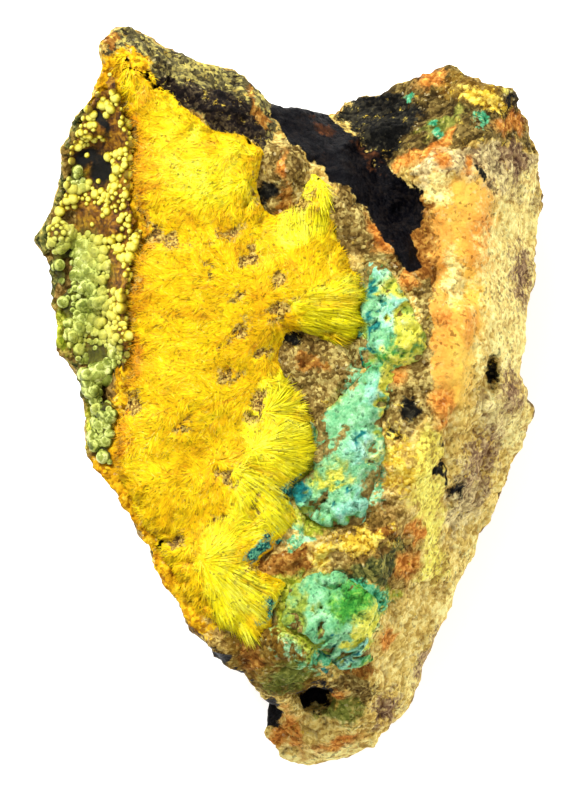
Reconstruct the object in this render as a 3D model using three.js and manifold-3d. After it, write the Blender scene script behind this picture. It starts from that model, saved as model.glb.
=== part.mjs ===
// A kamotoite specimen lying on its back: a wedge of weathered host rock whose upper face carries a mat of
// radiating yellow crystals, two blue-green crusts and a hollow lined with yellow-green globules.
// Millimetres, +Z up. The origin is under the middle of the rock, on the surface that it rests on.
import * as THREE from "three";
import { ImprovedNoise } from "three/addons/math/ImprovedNoise.js";
import { mergeVertices } from "three/addons/utils/BufferGeometryUtils.js";
import Module from "manifold-3d";

const wasm = await Module();
wasm.setup();
const noise = new ImprovedNoise();

// Driving dimensions
const faceHeight = 21; // the crystal face above the surface the rock rests on
const faceTilt = 0.03; // how far it falls per millimetre towards +X
const reach = { x: 19, y: 27.2 }; // half of the block that the rock is carved from
const blockBottom = -5; // below the flat foot, which is cut at zero
const rockCell = 1.45; // spacing of the carved face's vertices
const crustCell = 1.5;
const crustBottom = 8; // below the lowest place where a crust grows
const cutterHeight = 40; // above everything that is cut to an outline
const seatGap = 0.3; // between a crust and the rock under it
const seatDepth = 0.75; // how far the rock is sunk under a crust
const seatBank = { outer: -0.8, inner: 0.1 }; // where the sinking starts and ends, from the crust's outline
const broadWaves = { height: 0.9, scale: 0.16 };
const smallBreaks = { height: 0.75, scale: 0.47 };
const calmUnderMat = { share: 0.65, border: 1.5 };
const gridShake = { share: 0.4, scale: 1.7 }; // takes the vertices off their grid

// The rock's outline seen from above, anticlockwise from the tip of the left crest
const rockOutline = outline([
  [-11.4, 26], [-12.5, 25.8], [-13.2, 24.6], [-13.2, 23], [-14, 21.2], [-15.2, 19.6], [-15.8, 17.4],
  [-16.1, 15.2], [-16.9, 12.9], [-17.8, 11.2], [-17.1, 9.2], [-16.9, 6.6], [-16.1, 3.4], [-14.9, 0.9],
  [-14.2, -1.4], [-14.5, -3], [-13.7, -4.9], [-12.3, -6.6], [-9.9, -10.6], [-8.7, -12.9], [-6.9, -16.2],
  [-5.3, -17.8], [-2.7, -20], [-1.7, -21.3], [-1.6, -24], [-0.9, -25.5], [0.7, -26], [3.4, -25.7],
  [5.9, -24.7], [7.5, -23], [8.7, -20.5], [10.4, -16.8], [11.5, -13.9], [13.1, -10.4], [14.7, -7.4],
  [15.8, -4.4], [16.6, -2.4], [17, -0.9], [16.2, 1.4], [16.4, 3.4], [16.8, 6.1], [17.3, 8.2], [17.1, 10],
  [17.5, 12.1], [17.8, 14.2], [17.5, 16.7], [16.8, 18.4], [16.4, 20.1], [15.5, 21.6], [13.3, 22.4],
  [11.2, 23.3], [8.4, 22.4], [6.6, 21.5], [3.8, 20.8], [2.7, 20], [0.6, 20.3], [-1.6, 20.5], [-2, 21.1],
  [-3.3, 22.4], [-6.4, 23.4], [-9.9, 25.2],
]);

// Outlines of what grows on the face
const crystalZone = outline([
  [-11.9, 24.2], [-12.3, 23.4], [-11.9, 22.4], [-11.3, 20], [-10.6, 17.6], [-10.9, 15.6], [-10.8, 13.4],
  [-9.9, 11.2], [-10.7, 9.4], [-11.2, 6.8], [-10.9, 3.6], [-11.3, 0.6], [-12, -2.2], [-12.1, -5.2],
  [-10.2, -9], [-9, -11.1], [-7.7, -13.5], [-6, -15.6], [-3, -17.1], [-1.4, -16.4], [-0.9, -14.2],
  [-0.2, -12.9], [-2.8, -11.7], [-0.6, -10.2], [0.4, -8.2], [-0.3, -6.4], [1.3, -5], [1.5, -2],
  [0.3, 0.3], [-0.6, 1.8], [-0.4, 4.8], [1.4, 4.4], [3, 3.6], [4.4, 4], [4.7, 6], [4.8, 8.4], [3.6, 10.2],
  [2.6, 12.8], [2.6, 15], [1.4, 16], [0.4, 13.4], [-1.6, 12.6], [-2.4, 14.4], [-1.9, 17.2], [-3.2, 18.2],
  [-5.6, 18.6], [-7, 20.6], [-8.8, 21.6], [-9.8, 22.8], [-10.8, 23.9],
]);
const hollowZone = outline([
  [-11.8, 20], [-12.4, 22.8], [-13.4, 21.4], [-14.6, 19.4], [-15.3, 17.4], [-15.5, 15.4], [-16.4, 12.6],
  [-17, 11], [-16.5, 8.6], [-16.2, 6.2], [-15.4, 3.2], [-14.2, 0.6], [-13.6, -1.6], [-14, -3.2],
  [-13, -4.6], [-12.6, -4.6], [-12.5, -2.4], [-11.8, 0.6], [-11.3, 3.6], [-11.6, 6.8], [-11.1, 9.4],
  [-10.3, 11.2], [-11.2, 13.4], [-11.3, 15.6], [-11, 17.6],
]);
const upperCrustZone = outline([
  [5.3, 9.2], [5.2, 6.4], [4.9, 4.3], [5.4, 1.6], [4.2, 0.4], [2.2, -1.4], [1.7, -5.3], [0.3, -6.4],
  [0.8, -7.7], [2.4, -8.8], [4.8, -8.6], [5.4, -6.4], [6.4, -4.4], [6, -1.6], [6.9, 1], [7.2, 2.3],
  [8.9, 2.8], [9.2, 4.2], [8.1, 6.3], [6.9, 8.4], [6, 9.4],
]);
const lowerCrustZone = outline([
  [0.2, -13.4], [1.4, -12.4], [3.4, -12.4], [5.6, -14], [6, -15.4], [5, -17.2], [5.6, -18.4],
  [3.6, -18.8], [2.6, -18], [1.4, -16.4], [-0.4, -15.6],
]);

// Sloping faces of the rock: each starts along a line through (x, y) and falls towards a heading in degrees
const leftCrest = { x: -8.8, y: 22.2, heading: 54, height: 21, fall: 1.25 };
const blackFace = { x: -1.5, y: 19.9, heading: 44.5, height: 20.4, fall: 2 };
const ochreFace = { x: 9, y: 0, heading: 0, height: 20, fall: 0.36 };
const rightSide = { x: 13.2, y: 0, heading: 0, height: 18.6, fall: 1.75 };
const lowerRightSide = { x: 12, y: -0.4, heading: -23.8, height: 19.6, fall: 1.85 };
const lowerEnd = { x: 0, y: -17.4, heading: -88, height: 20.2, fall: 1.2 };
const farShoulder = { x: 7.5, y: 15, heading: 111.8, height: 19.3, fall: 1 };
const leftRim = { x: -13.6, y: 0, heading: 180, height: 20.6, fall: 0.85 };
const notchFlank = { x: 3.8, y: 20.7, heading: 213.6, height: 14.5, fall: 1.5, climb: 0.4 };

// Knobs that stand out of the faces, and pits that go into them
const knobs = [
  { x: 0, y: -18.4, spread: 2.6, height: 1.7 },
  { x: 5.4, y: -11.3, spread: 2.4, height: 0.9 },
  { x: 15.4, y: -0.9, spread: 1.7, height: 1.6 },
  { x: -3.4, y: 20.6, spread: 1.6, height: 1 },
  { x: 12.6, y: 20.2, spread: 2, height: 1.1 },
  { x: 3.6, y: -23.6, spread: 2.2, height: 1 },
];
const pits = [
  { x: -13.5, y: 16.3, z: 18.6, size: [1.1, 1.7, 4.2] },
  { x: 1.6, y: -21.1, z: 14.6, size: [1.7, 1.1, 2.8] },
  { x: -1.3, y: -22.1, z: 12.6, size: [1, 1.5, 2.6] },
  { x: 14.1, y: 1.5, z: 17, size: [0.7, 1.8, 2] },
  { x: 11.9, y: -4.9, z: 19.4, size: [1.2, 0.8, 1.4] },
  { x: -13.1, y: -1.4, z: 19.4, size: [0.8, 1.2, 2.9] },
];
const hollowDepth = 2.4;
const hollowBank = { outer: -0.3, inner: 1.3 }; // where its wall starts and ends, from its outline

// Radiating sprays of the crystal mat: centre, radius, and the heading of the longest blades, in degrees
const sprays = [
  { x: -2.9, y: 16.4, radius: 6.6, heading: 175 },
  { x: -7.9, y: 13.9, radius: 4.6, heading: 10 },
  { x: -6.2, y: 8.4, radius: 5.2, heading: 150 },
  { x: -4.6, y: 5.4, radius: 6.4, heading: 195 },
  { x: 0, y: 7.2, radius: 5, heading: 20 },
  { x: 1.6, y: 11.2, radius: 3.8, heading: 85 },
  { x: -6.6, y: 0.2, radius: 4.8, heading: 190 },
  { x: -1, y: -0.8, radius: 2.6, heading: 60 },
  { x: -0.6, y: -3.2, radius: 2.8, heading: -10 },
  { x: -9.8, y: -2.4, radius: 3.2, heading: -45 },
  { x: -8.6, y: -6.6, radius: 4.4, heading: 200 },
  { x: -3.4, y: -5.4, radius: 4.6, heading: -60 },
  { x: -5.2, y: -11.6, radius: 5, heading: -40 },
];
const bladeWidth = 2.5; // of one blade at a spray's rim
const sprayRise = 0.95; // of a spray's heart above the mat
const sprayRoot = 0.9; // how deep a spray is rooted in the mat
const matRise = 0.25;
const sprayLean = 0.22; // how much longer the blades along the heading are than the others
const sprayUneven = 0.2;
const ridge = { reach: 1, halfway: 0.92, tip: 0.3 }; // a blade's crest, as shares and as height at its tip
const valley = { reach: 0.84, halfway: 0.5, tip: 0.05 };

// Globules in the hollow, set along its length by a loop
const globuleRows = 11;
const globulesAcross = 2;
const globuleSize = { least: 0.5, most: 0.9 };
const globuleShift = 0.9;
const globuleStand = 0.35; // share of the radius that its centre stands above the floor
const liningRise = 0.1;

// How far the blue-green crusts rise above the rock
const crustRise = { least: 0.35, most: 0.7, scale: 0.8 };

function outline(points) {
  return points.map(([x, y]) => new THREE.Vector2(x, y));
}

// Distance from a point to an outline, positive inside it
function depthInside(zone, x, y) {
  let nearest = Infinity;
  let inside = false;
  zone.forEach((a, i) => {
    const b = zone[(i + 1) % zone.length];
    const edge = { x: b.x - a.x, y: b.y - a.y };
    const along = ((x - a.x) * edge.x + (y - a.y) * edge.y) / (edge.x ** 2 + edge.y ** 2);
    const t = THREE.MathUtils.clamp(along, 0, 1);
    nearest = Math.min(nearest, Math.hypot(x - a.x - t * edge.x, y - a.y - t * edge.y));
    if (a.y > y !== b.y > y && x < a.x + (edge.x * (y - a.y)) / edge.y) inside = !inside;
  });
  return inside ? nearest : -nearest;
}

// Height of a sloping face over (x, y); climb raises it along the line that it starts from
function slope(face, x, y) {
  const angle = THREE.MathUtils.degToRad(face.heading);
  const out = (x - face.x) * Math.cos(angle) + (y - face.y) * Math.sin(angle);
  const along = (y - face.y) * Math.cos(angle) - (x - face.x) * Math.sin(angle);
  return face.height - face.fall * out + (face.climb ?? 0) * along;
}

// The rock's upper surface before anything grew on it
function bareHeight(x, y) {
  const crystalFace = Math.min(faceHeight - faceTilt * x, slope(leftCrest, x, y), slope(blackFace, x, y));
  const farBlock = Math.min(slope(ochreFace, x, y), slope(farShoulder, x, y), slope(notchFlank, x, y));
  const sides = [leftRim, rightSide, lowerRightSide, lowerEnd].map((face) => slope(face, x, y));
  let height = Math.min(Math.max(crystalFace, farBlock), ...sides);
  for (const knob of knobs) {
    const away = Math.hypot(x - knob.x, y - knob.y) / knob.spread;
    height += knob.height * Math.exp(-(away ** 4));
  }
  const hollow = depthInside(hollowZone, x, y);
  height -= hollowDepth * THREE.MathUtils.smoothstep(hollow, hollowBank.outer, hollowBank.inner);
  return height + roughness(x, y);
}

// Broad waves and small breaks of the fractured surface, calmer under the crystal mat
function roughness(x, y) {
  const depth = depthInside(crystalZone, x, y);
  const calm = THREE.MathUtils.smoothstep(depth, -calmUnderMat.border, calmUnderMat.border);
  const broad = broadWaves.height * noise.noise(x * broadWaves.scale, y * broadWaves.scale, 3.1);
  const small = smallBreaks.height * noise.noise(x * smallBreaks.scale, y * smallBreaks.scale, 7.7);
  return (broad + small) * (1 - calmUnderMat.share * calm);
}

// The same surface, sunk where a crust sits in it
function seatedHeight(x, y) {
  const zones = [crystalZone, hollowZone, upperCrustZone, lowerCrustZone];
  const depth = Math.max(...zones.map((zone) => depthInside(zone, x, y)));
  return bareHeight(x, y) - seatDepth * THREE.MathUtils.smoothstep(depth, seatBank.outer, seatBank.inner);
}

function solidOf(geometry) {
  const bare = geometry.clone();
  bare.deleteAttribute("normal");
  bare.deleteAttribute("uv");
  const merged = mergeVertices(bare, 1e-4);
  const triVerts = new Uint32Array(merged.index.array);
  const mesh = new wasm.Mesh({ numProp: 3, vertProperties: merged.attributes.position.array, triVerts });
  return new wasm.Manifold(mesh);
}

function geometryOf(solid) {
  const mesh = solid.getMesh();
  const geometry = new THREE.BufferGeometry();
  geometry.setAttribute("position", new THREE.BufferAttribute(mesh.vertProperties, 3));
  geometry.setIndex(new THREE.BufferAttribute(mesh.triVerts, 1));
  geometry.computeVertexNormals();
  return geometry;
}

// A block over a rectangle whose top follows a height function, with its vertices shaken off their grid
function carvedBlock(low, high, cell, heightAt, bottom) {
  const size = { x: high.x - low.x, y: high.y - low.y };
  const steps = { x: Math.ceil(size.x / cell), y: Math.ceil(size.y / cell) };
  const block = new THREE.BoxGeometry(size.x, size.y, 1, steps.x, steps.y, 1);
  block.translate((low.x + high.x) / 2, (low.y + high.y) / 2, 0);
  const position = block.attributes.position;
  for (let i = 0; i < position.count; i++) {
    let x = position.getX(i);
    let y = position.getY(i);
    const edge = Math.min(x - low.x, high.x - x, y - low.y, high.y - y);
    if (edge > 0.01) {
      x += cell * gridShake.share * noise.noise(x * gridShake.scale, y * gridShake.scale, 0.5);
      y += cell * gridShake.share * noise.noise(x * gridShake.scale, y * gridShake.scale, 9.5);
    }
    position.setXYZ(i, x, y, position.getZ(i) > 0 ? heightAt(x, y) : bottom);
  }
  return solidOf(block);
}

// The rock's walls: the outline at the rim, rounded off and tucked under in steps down to a flat foot
function rockWalls() {
  const steps = [
    { rise: Infinity, tuck: 0, reach: 0 },
    { rise: 0.94, tuck: 0, reach: 0 },
    { rise: 0.68, tuck: 0.5, reach: 1 },
    { rise: 0.4, tuck: 1.3, reach: 2 },
    { rise: 0.16, tuck: 2, reach: 3 },
    { rise: 0, tuck: 3.8, reach: 4 },
  ];
  const count = rockOutline.length;
  const points = steps.flatMap((step, level) =>
    rockOutline.map((rim, i) => {
      const near = [];
      for (let k = -step.reach; k <= step.reach; k++) {
        near.push(rockOutline[(i + k + count) % count].length());
      }
      const rounded = near.reduce((sum, radius) => sum + radius) / near.length;
      const angle = rim.angle();
      const crooked = noise.noise(3 * Math.cos(angle), 3 * Math.sin(angle), level * 0.9);
      const radius = Math.min(rim.length(), rounded) - step.tuck * (1 + crooked);
      const height = Math.min(cutterHeight, step.rise * bareHeight(rim.x, rim.y));
      return new THREE.Vector3(radius * Math.cos(angle), radius * Math.sin(angle), height);
    }),
  );
  const index = [];
  for (let level = 0; level + 1 < steps.length; level++) {
    for (let i = 0; i < count; i++) {
      const a = level * count + i;
      const b = level * count + ((i + 1) % count);
      index.push(a, a + count, b, b, a + count, b + count);
    }
  }
  const foot = (steps.length - 1) * count;
  for (const [a, b, c] of THREE.ShapeUtils.triangulateShape(rockOutline, [])) index.push(a, b, c);
  const footOutline = points.slice(foot).map((p) => new THREE.Vector2(p.x, p.y));
  for (const [a, b, c] of THREE.ShapeUtils.triangulateShape(footOutline, [])) {
    index.push(foot + a, foot + c, foot + b);
  }
  return solidOf(new THREE.BufferGeometry().setFromPoints(points).setIndex(index));
}

function pitSolid(pit) {
  const hole = new THREE.IcosahedronGeometry(1, 1).scale(...pit.size);
  return solidOf(hole.translate(pit.x, pit.y, pit.z));
}

function hostRock() {
  const low = { x: -reach.x, y: -reach.y };
  const block = carvedBlock(low, reach, rockCell, seatedHeight, blockBottom);
  return pits.reduce((rock, pit) => rock.subtract(pitSolid(pit)), block.intersect(rockWalls()));
}

// Everything above a zone
function columnOver(zone) {
  const shape = new THREE.Shape(zone);
  return solidOf(new THREE.ExtrudeGeometry(shape, { depth: cutterHeight, bevelEnabled: false }));
}

// A crust over one zone: its top rises above the bare surface, and its underside follows the rock
function crust(zone, rise, liftedRock) {
  const box = new THREE.Box2().setFromPoints(zone).expandByScalar(crustCell);
  const heightAt = (x, y) => bareHeight(x, y) + rise(x, y);
  const block = carvedBlock(box.min, box.max, crustCell, heightAt, crustBottom);
  return largest(block.intersect(columnOver(zone)).subtract(liftedRock));
}

function largest(solid) {
  return solid.decompose().sort((a, b) => b.volume() - a.volume())[0];
}

// A spray of blades: a pleated disc whose ridges run out from its heart and end in points
function spraySolid(spray) {
  const blades = Math.round((2 * Math.PI * spray.radius) / bladeWidth);
  const heading = THREE.MathUtils.degToRad(spray.heading);
  const points = [new THREE.Vector3(0, 0, sprayRise), new THREE.Vector3(0, 0, -sprayRoot)];
  for (let i = 0; i < 2 * blades; i++) {
    const angle = (i * Math.PI) / blades;
    const fold = i % 2 === 0 ? ridge : valley;
    const lean = 1 - sprayLean + sprayLean * Math.cos(angle - heading);
    const uneven = 1 + sprayUneven * noise.noise(spray.x + i * 1.3, spray.y, i * 0.71);
    const tip = spray.radius * lean * uneven * fold.reach;
    const [outX, outY] = [tip * Math.cos(angle), tip * Math.sin(angle)];
    points.push(new THREE.Vector3(outX / 2, outY / 2, sprayRise * fold.halfway));
    points.push(new THREE.Vector3(outX, outY, fold.tip));
    points.push(new THREE.Vector3(outX, outY, -sprayRoot));
  }
  const index = [];
  for (let i = 0; i < 2 * blades; i++) {
    const [a, b] = [2 + 3 * i, 2 + 3 * ((i + 1) % (2 * blades))];
    index.push(0, a, b, a, a + 1, b + 1, a, b + 1, b);
    index.push(a + 1, a + 2, b + 2, a + 1, b + 2, b + 1, 1, b + 2, a + 2);
  }
  const disc = new THREE.BufferGeometry().setFromPoints(points).setIndex(index);
  return solidOf(disc.translate(spray.x, spray.y, bareHeight(spray.x, spray.y) + matRise));
}

// The yellow mat: a thin felt over its zone, with the sprays fused to it
function crystalMat(liftedRock) {
  const felt = crust(crystalZone, () => matRise, liftedRock);
  const fused = sprays.map(spraySolid).reduce((all, spray) => all.add(spray));
  return largest(felt.add(fused.intersect(columnOver(crystalZone)).subtract(liftedRock)));
}

// The hollow's lining: a thin crust with rounded globules fused to it
function globuleLining(liftedRock) {
  const box = new THREE.Box2().setFromPoints(hollowZone);
  let lining = crust(hollowZone, () => liningRise, liftedRock);
  for (let row = 0; row < globuleRows; row++) {
    const y = THREE.MathUtils.lerp(box.min.y, box.max.y, (row + 0.5) / globuleRows);
    const inside = [];
    for (let x = box.min.x; x < box.max.x; x++) {
      if (depthInside(hollowZone, x, y) > globuleSize.least) inside.push(x);
    }
    if (inside.length === 0) continue;
    for (let i = 0; i < globulesAcross; i++) {
      const x = THREE.MathUtils.lerp(inside[0], inside.at(-1), i / (globulesAcross - 1));
      const gx = x + globuleShift * noise.noise(x, y, 1.5);
      const gy = y + globuleShift * noise.noise(x, y, 4.5);
      const share = 0.5 + noise.noise(x * 1.9, y * 1.9, 6.5);
      const radius = THREE.MathUtils.lerp(globuleSize.least, globuleSize.most, share);
      if (depthInside(hollowZone, gx, gy) < radius / 2) continue;
      const globule = new THREE.IcosahedronGeometry(radius, 1);
      globule.translate(gx, gy, bareHeight(gx, gy) + radius * globuleStand);
      lining = lining.add(solidOf(globule).subtract(liftedRock));
    }
  }
  return largest(lining);
}

function lumps(x, y) {
  const share = Math.abs(noise.noise(x * crustRise.scale, y * crustRise.scale, 2.2));
  return THREE.MathUtils.lerp(crustRise.least, crustRise.most, share);
}

function piece(name, solid, colour, roughness) {
  const mesh = new THREE.Mesh(
    geometryOf(solid),
    new THREE.MeshStandardMaterial({ color: colour, roughness, metalness: 0 }),
  );
  mesh.name = name;
  return mesh;
}

const rock = hostRock();
const liftedRock = solidOf(geometryOf(rock).translate(0, 0, seatGap));
const specimen = new THREE.Group();
specimen.add(
  piece("host_rock", rock, "#a8834a", 0.9),
  piece("kamotoite_mat", crystalMat(liftedRock), "#f2d11c", 0.55),
  piece("globule_lining", globuleLining(liftedRock), "#b9b53a", 0.4),
  piece("upper_blue_green_crust", crust(upperCrustZone, lumps, liftedRock), "#7fcdb2", 0.7),
  piece("lower_blue_green_crust", crust(lowerCrustZone, lumps, liftedRock), "#4fb39a", 0.7),
);

export default specimen;
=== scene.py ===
import math

import bmesh
import bpy
import numpy as np
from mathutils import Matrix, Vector, noise


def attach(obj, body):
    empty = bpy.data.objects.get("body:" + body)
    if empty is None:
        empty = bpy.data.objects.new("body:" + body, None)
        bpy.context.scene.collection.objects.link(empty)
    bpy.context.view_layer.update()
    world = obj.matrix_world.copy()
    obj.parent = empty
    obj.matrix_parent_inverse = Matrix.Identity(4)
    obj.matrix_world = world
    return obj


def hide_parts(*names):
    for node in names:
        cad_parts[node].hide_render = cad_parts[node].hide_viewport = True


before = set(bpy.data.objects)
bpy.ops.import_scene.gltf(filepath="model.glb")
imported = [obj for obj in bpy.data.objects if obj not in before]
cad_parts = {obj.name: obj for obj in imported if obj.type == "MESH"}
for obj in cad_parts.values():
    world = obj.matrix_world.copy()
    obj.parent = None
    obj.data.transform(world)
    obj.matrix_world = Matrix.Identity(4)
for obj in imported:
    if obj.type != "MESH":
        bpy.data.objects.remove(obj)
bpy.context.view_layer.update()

mm = 0.001
scene = bpy.context.scene
print("frame loaded")


def srgb(red, green, blue):
    # screen colour, 0 to 255, as the linear colour that a socket takes
    parts = [c / 255 for c in (red, green, blue)]
    return tuple(c / 12.92 if c <= 0.04045 else ((c + 0.055) / 1.055) ** 2.4 for c in parts) + (1,)


# mesh helpers, in millimetres

def pointsOf(piece):
    flat = np.empty(len(piece.data.vertices) * 3, np.float32)
    piece.data.vertices.foreach_get("co", flat)
    return flat.reshape(-1, 3).astype(float) / mm


def normalsOf(piece):
    flat = np.empty(len(piece.data.vertices) * 3, np.float32)
    piece.data.vertices.foreach_get("normal", flat)
    return flat.reshape(-1, 3).astype(float)


def movePoints(piece, points):
    piece.data.vertices.foreach_set("co", (points * mm).astype(np.float32).ravel())
    piece.data.update()


def storeMask(piece, name, values):
    layer = piece.data.attributes.new(name, "FLOAT", "POINT")
    layer.data.foreach_set("value", np.asarray(values, np.float32))


def storeVector(piece, name, values):
    layer = piece.data.attributes.new(name, "FLOAT_VECTOR", "POINT")
    layer.data.foreach_set("vector", np.asarray(values, np.float32).ravel())


def applyModifiers(piece):
    bpy.context.view_layer.update()
    graph = bpy.context.evaluated_depsgraph_get()
    finished = bpy.data.meshes.new_from_object(piece.evaluated_get(graph), depsgraph=graph)
    unfinished = piece.data
    piece.modifiers.clear()
    piece.data = finished
    finished.name = piece.name
    bpy.data.meshes.remove(unfinished)


def copyOfNode(node, name, voxel):
    # merged copy of a CAD node, remeshed evenly so that it can be sculpted
    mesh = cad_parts[node].data.copy()
    mesh.materials.clear()
    work = bmesh.new()
    work.from_mesh(mesh)
    bmesh.ops.remove_doubles(work, verts=work.verts, dist=0.002 * mm)
    work.to_mesh(mesh)
    work.free()
    piece = bpy.data.objects.new(name, mesh)
    scene.collection.objects.link(piece)
    remesh = piece.modifiers.new("evenFaces", "REMESH")
    remesh.mode = "VOXEL"
    remesh.voxel_size = voxel * mm
    applyModifiers(piece)
    return piece


def soften(piece, times, heightOnly=False):
    relax = piece.modifiers.new("soften", "SMOOTH")
    relax.use_x = relax.use_y = not heightOnly
    relax.factor = 0.5
    relax.iterations = times
    applyModifiers(piece)


def refine(piece, keep):
    # one cut through the faces whose centre and normal pass keep
    work = bmesh.new()
    work.from_mesh(piece.data)
    edges = {e for f in work.faces if keep(f.calc_center_median() / mm, f.normal) for e in f.edges}
    bmesh.ops.subdivide_edges(work, edges=list(edges), cuts=1, use_grid_fill=True)
    bmesh.ops.triangulate(work, faces=[f for f in work.faces if len(f.verts) > 4])
    work.to_mesh(piece.data)
    work.free()


def wave(points, scale, octaves=1, shift=0.0):
    # noise around 0; the shift picks another part of it
    offset = Vector((shift, shift * 1.7, shift * 0.6))
    return np.array([noise.fractal(Vector(p) * scale + offset, 0.9, 2.1, octaves) for p in points])


def cells(points, scale, shift=0.0):
    # distance to the nearest cell centre: low in the middle of a lump
    offset = Vector((shift, shift * 1.3, shift * 0.7))
    return np.array([noise.voronoi(Vector(p) * scale + offset)[0][0] for p in points])


def cracks(points, scale, shift=0.0):
    # 0 where two cells meet, rising towards their middles
    offset = Vector((shift, shift * 1.3, shift * 0.7))
    near = [noise.voronoi(Vector(p) * scale + offset)[0] for p in points]
    return np.array([d[1] - d[0] for d in near])


def smooth(values, low, high):
    # 0 at low, 1 at high, eased between them
    t = np.clip((values - low) / (high - low), 0, 1)
    return t * t * (3 - 2 * t)


def spot(points, x, y, halfWidth, halfHeight, turn=0.0):
    # 1 in the middle, 0.5 on the rim of an ellipse seen from above, 0 at twice its size
    angle = math.radians(turn)
    dx, dy = points[:, 0] - x, points[:, 1] - y
    u = (dx * math.cos(angle) + dy * math.sin(angle)) / halfWidth
    v = (dy * math.cos(angle) - dx * math.sin(angle)) / halfHeight
    return np.clip(1 - 0.5 * np.hypot(u, v), 0, 1)


def spots(points, areas):
    # the strongest of several ellipses at each point
    return np.max([spot(points, *area) for area in areas], axis=0)


def patch(points, corners, fade):
    # 0.5 on an outline seen from above, rising to 1 inside and falling to 0 outside over fade
    x, y = points[:, 0], points[:, 1]
    nearest = np.full(len(points), np.inf)
    inside = np.zeros(len(points), bool)
    for (ax, ay), (bx, by) in zip(corners, corners[1:] + corners[:1]):
        ex, ey = bx - ax, by - ay
        t = np.clip(((x - ax) * ex + (y - ay) * ey) / (ex * ex + ey * ey), 0, 1)
        nearest = np.minimum(nearest, np.hypot(x - ax - t * ex, y - ay - t * ey))
        crosses = (ay > y) != (by > y)
        side = x < ax + ex * (y - ay) / (ey if ey else 1e-9)
        inside ^= crosses & side
    return np.clip(0.5 + np.where(inside, nearest, -nearest) / (2 * fade), 0, 1)


# shader helpers

numberSocket = "NodeSocketFloat"
colourSocket = "NodeSocketColor"


def feed(tree, node, sockets):
    # links each named input to an output, or sets it to a constant
    for name, value in sockets.items():
        if isinstance(value, bpy.types.NodeSocket):
            tree.links.new(value, node.inputs[name])
        else:
            node.inputs[name].default_value = value


def addNode(tree, kind, sockets=None, **values):
    node = tree.nodes.new(kind)
    for key, value in values.items():
        setattr(node, key, value)
    feed(tree, node, sockets or {})
    return node


def newGroup(name, inputs, outputs):
    tree = bpy.data.node_groups.new(name, "ShaderNodeTree")
    for label, kind, value in inputs:
        socket = tree.interface.new_socket(label, in_out="INPUT", socket_type=kind)
        socket.default_value = value
    for label, kind in outputs:
        tree.interface.new_socket(label, in_out="OUTPUT", socket_type=kind)
    return tree, addNode(tree, "NodeGroupInput"), addNode(tree, "NodeGroupOutput")


def addRange(tree, value, low, high, smoothed=False):
    # 0 where the value is low, 1 where it is high
    sockets = {"Value": value, "From Min": low, "From Max": high}
    curve = "SMOOTHSTEP" if smoothed else "LINEAR"
    return addNode(tree, "ShaderNodeMapRange", sockets, interpolation_type=curve).outputs["Result"]


def addMath(tree, operation, *values):
    return addNode(tree, "ShaderNodeMath", dict(enumerate(values)), operation=operation).outputs[0]


def ramp(tree, value, low, high, most):
    # 0 where the value is low, most where it is high
    return addMath(tree, "MULTIPLY", addRange(tree, value, low, high), most)


def attributeOf(tree, name, output="Fac"):
    return addNode(tree, "ShaderNodeAttribute", attribute_name=name).outputs[output]


def between(tree, first, second):
    # mean of two values
    return addMath(tree, "MULTIPLY", addMath(tree, "ADD", first, second), 0.5)


def shifted(tree, value, field, share):
    # the value, moved up and down by a field around 0.5
    return addMath(tree, "MULTIPLY_ADD", addMath(tree, "SUBTRACT", field, 0.5), share, value)


def mixColours(tree, factor, under, over, how="MIX"):
    sockets = {"Factor": factor, "A": under, "B": over}
    return addNode(tree, "ShaderNodeMix", sockets, data_type="RGBA", blend_type=how).outputs["Result"]


def mixNumbers(tree, factor, under, over):
    sockets = {"Factor": factor, "A": under, "B": over}
    return addNode(tree, "ShaderNodeMix", sockets, data_type="FLOAT").outputs["Result"]


def darken(tree, colour, factor, shade):
    # multiplies the colour by a shade where factor is 1
    return mixColours(tree, factor, colour, srgb(*shade), "MULTIPLY")


def addBump(tree, shader, height, strength, depth):
    bump = addNode(tree, "ShaderNodeBump", {"Strength": strength, "Distance": depth * mm, "Height": height})
    feed(tree, shader, {"Normal": bump.outputs["Normal"]})
    return bump


def makeGrainFields():
    # clouds, grains and single crystals of a mineral surface, as values around 0.5
    tree, inlet, outlet = newGroup(
        "grainFields",
        [("Cloud Scale", numberSocket, 420.0), ("Grain Scale", numberSocket, 1500.0),
         ("Cell Scale", numberSocket, 4000.0), ("Cell Bend", numberSocket, 0.0003)],
        [(label, numberSocket) for label in ("Cloud", "Grain", "Cell", "Facet")])
    place = addNode(tree, "ShaderNodeTexCoord").outputs["Object"]
    for label, detail, rough, twist in (("Cloud", 7, 0.72, 0.6), ("Grain", 8, 0.78, 0.3)):
        texture = addNode(tree, "ShaderNodeTexNoise", {
            "Vector": place, "Scale": inlet.outputs[label + " Scale"], "Detail": detail, "Roughness": rough,
            "Distortion": twist})
        feed(tree, outlet, {label: texture.outputs["Fac"]})

    # cells with crooked borders: one random value in each, and the distance from its middle
    bend = addNode(tree, "ShaderNodeVectorMath", {
        0: texture.outputs["Color"], 1: inlet.outputs["Cell Bend"], 2: place}, operation="MULTIPLY_ADD")
    crystal = addNode(tree, "ShaderNodeTexVoronoi", {
        "Vector": bend.outputs["Vector"], "Scale": inlet.outputs["Cell Scale"]})
    parts = addNode(tree, "ShaderNodeSeparateColor", {"Color": crystal.outputs["Color"]})
    feed(tree, outlet, {"Cell": parts.outputs["Red"], "Facet": crystal.outputs["Distance"]})
    return tree


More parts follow.
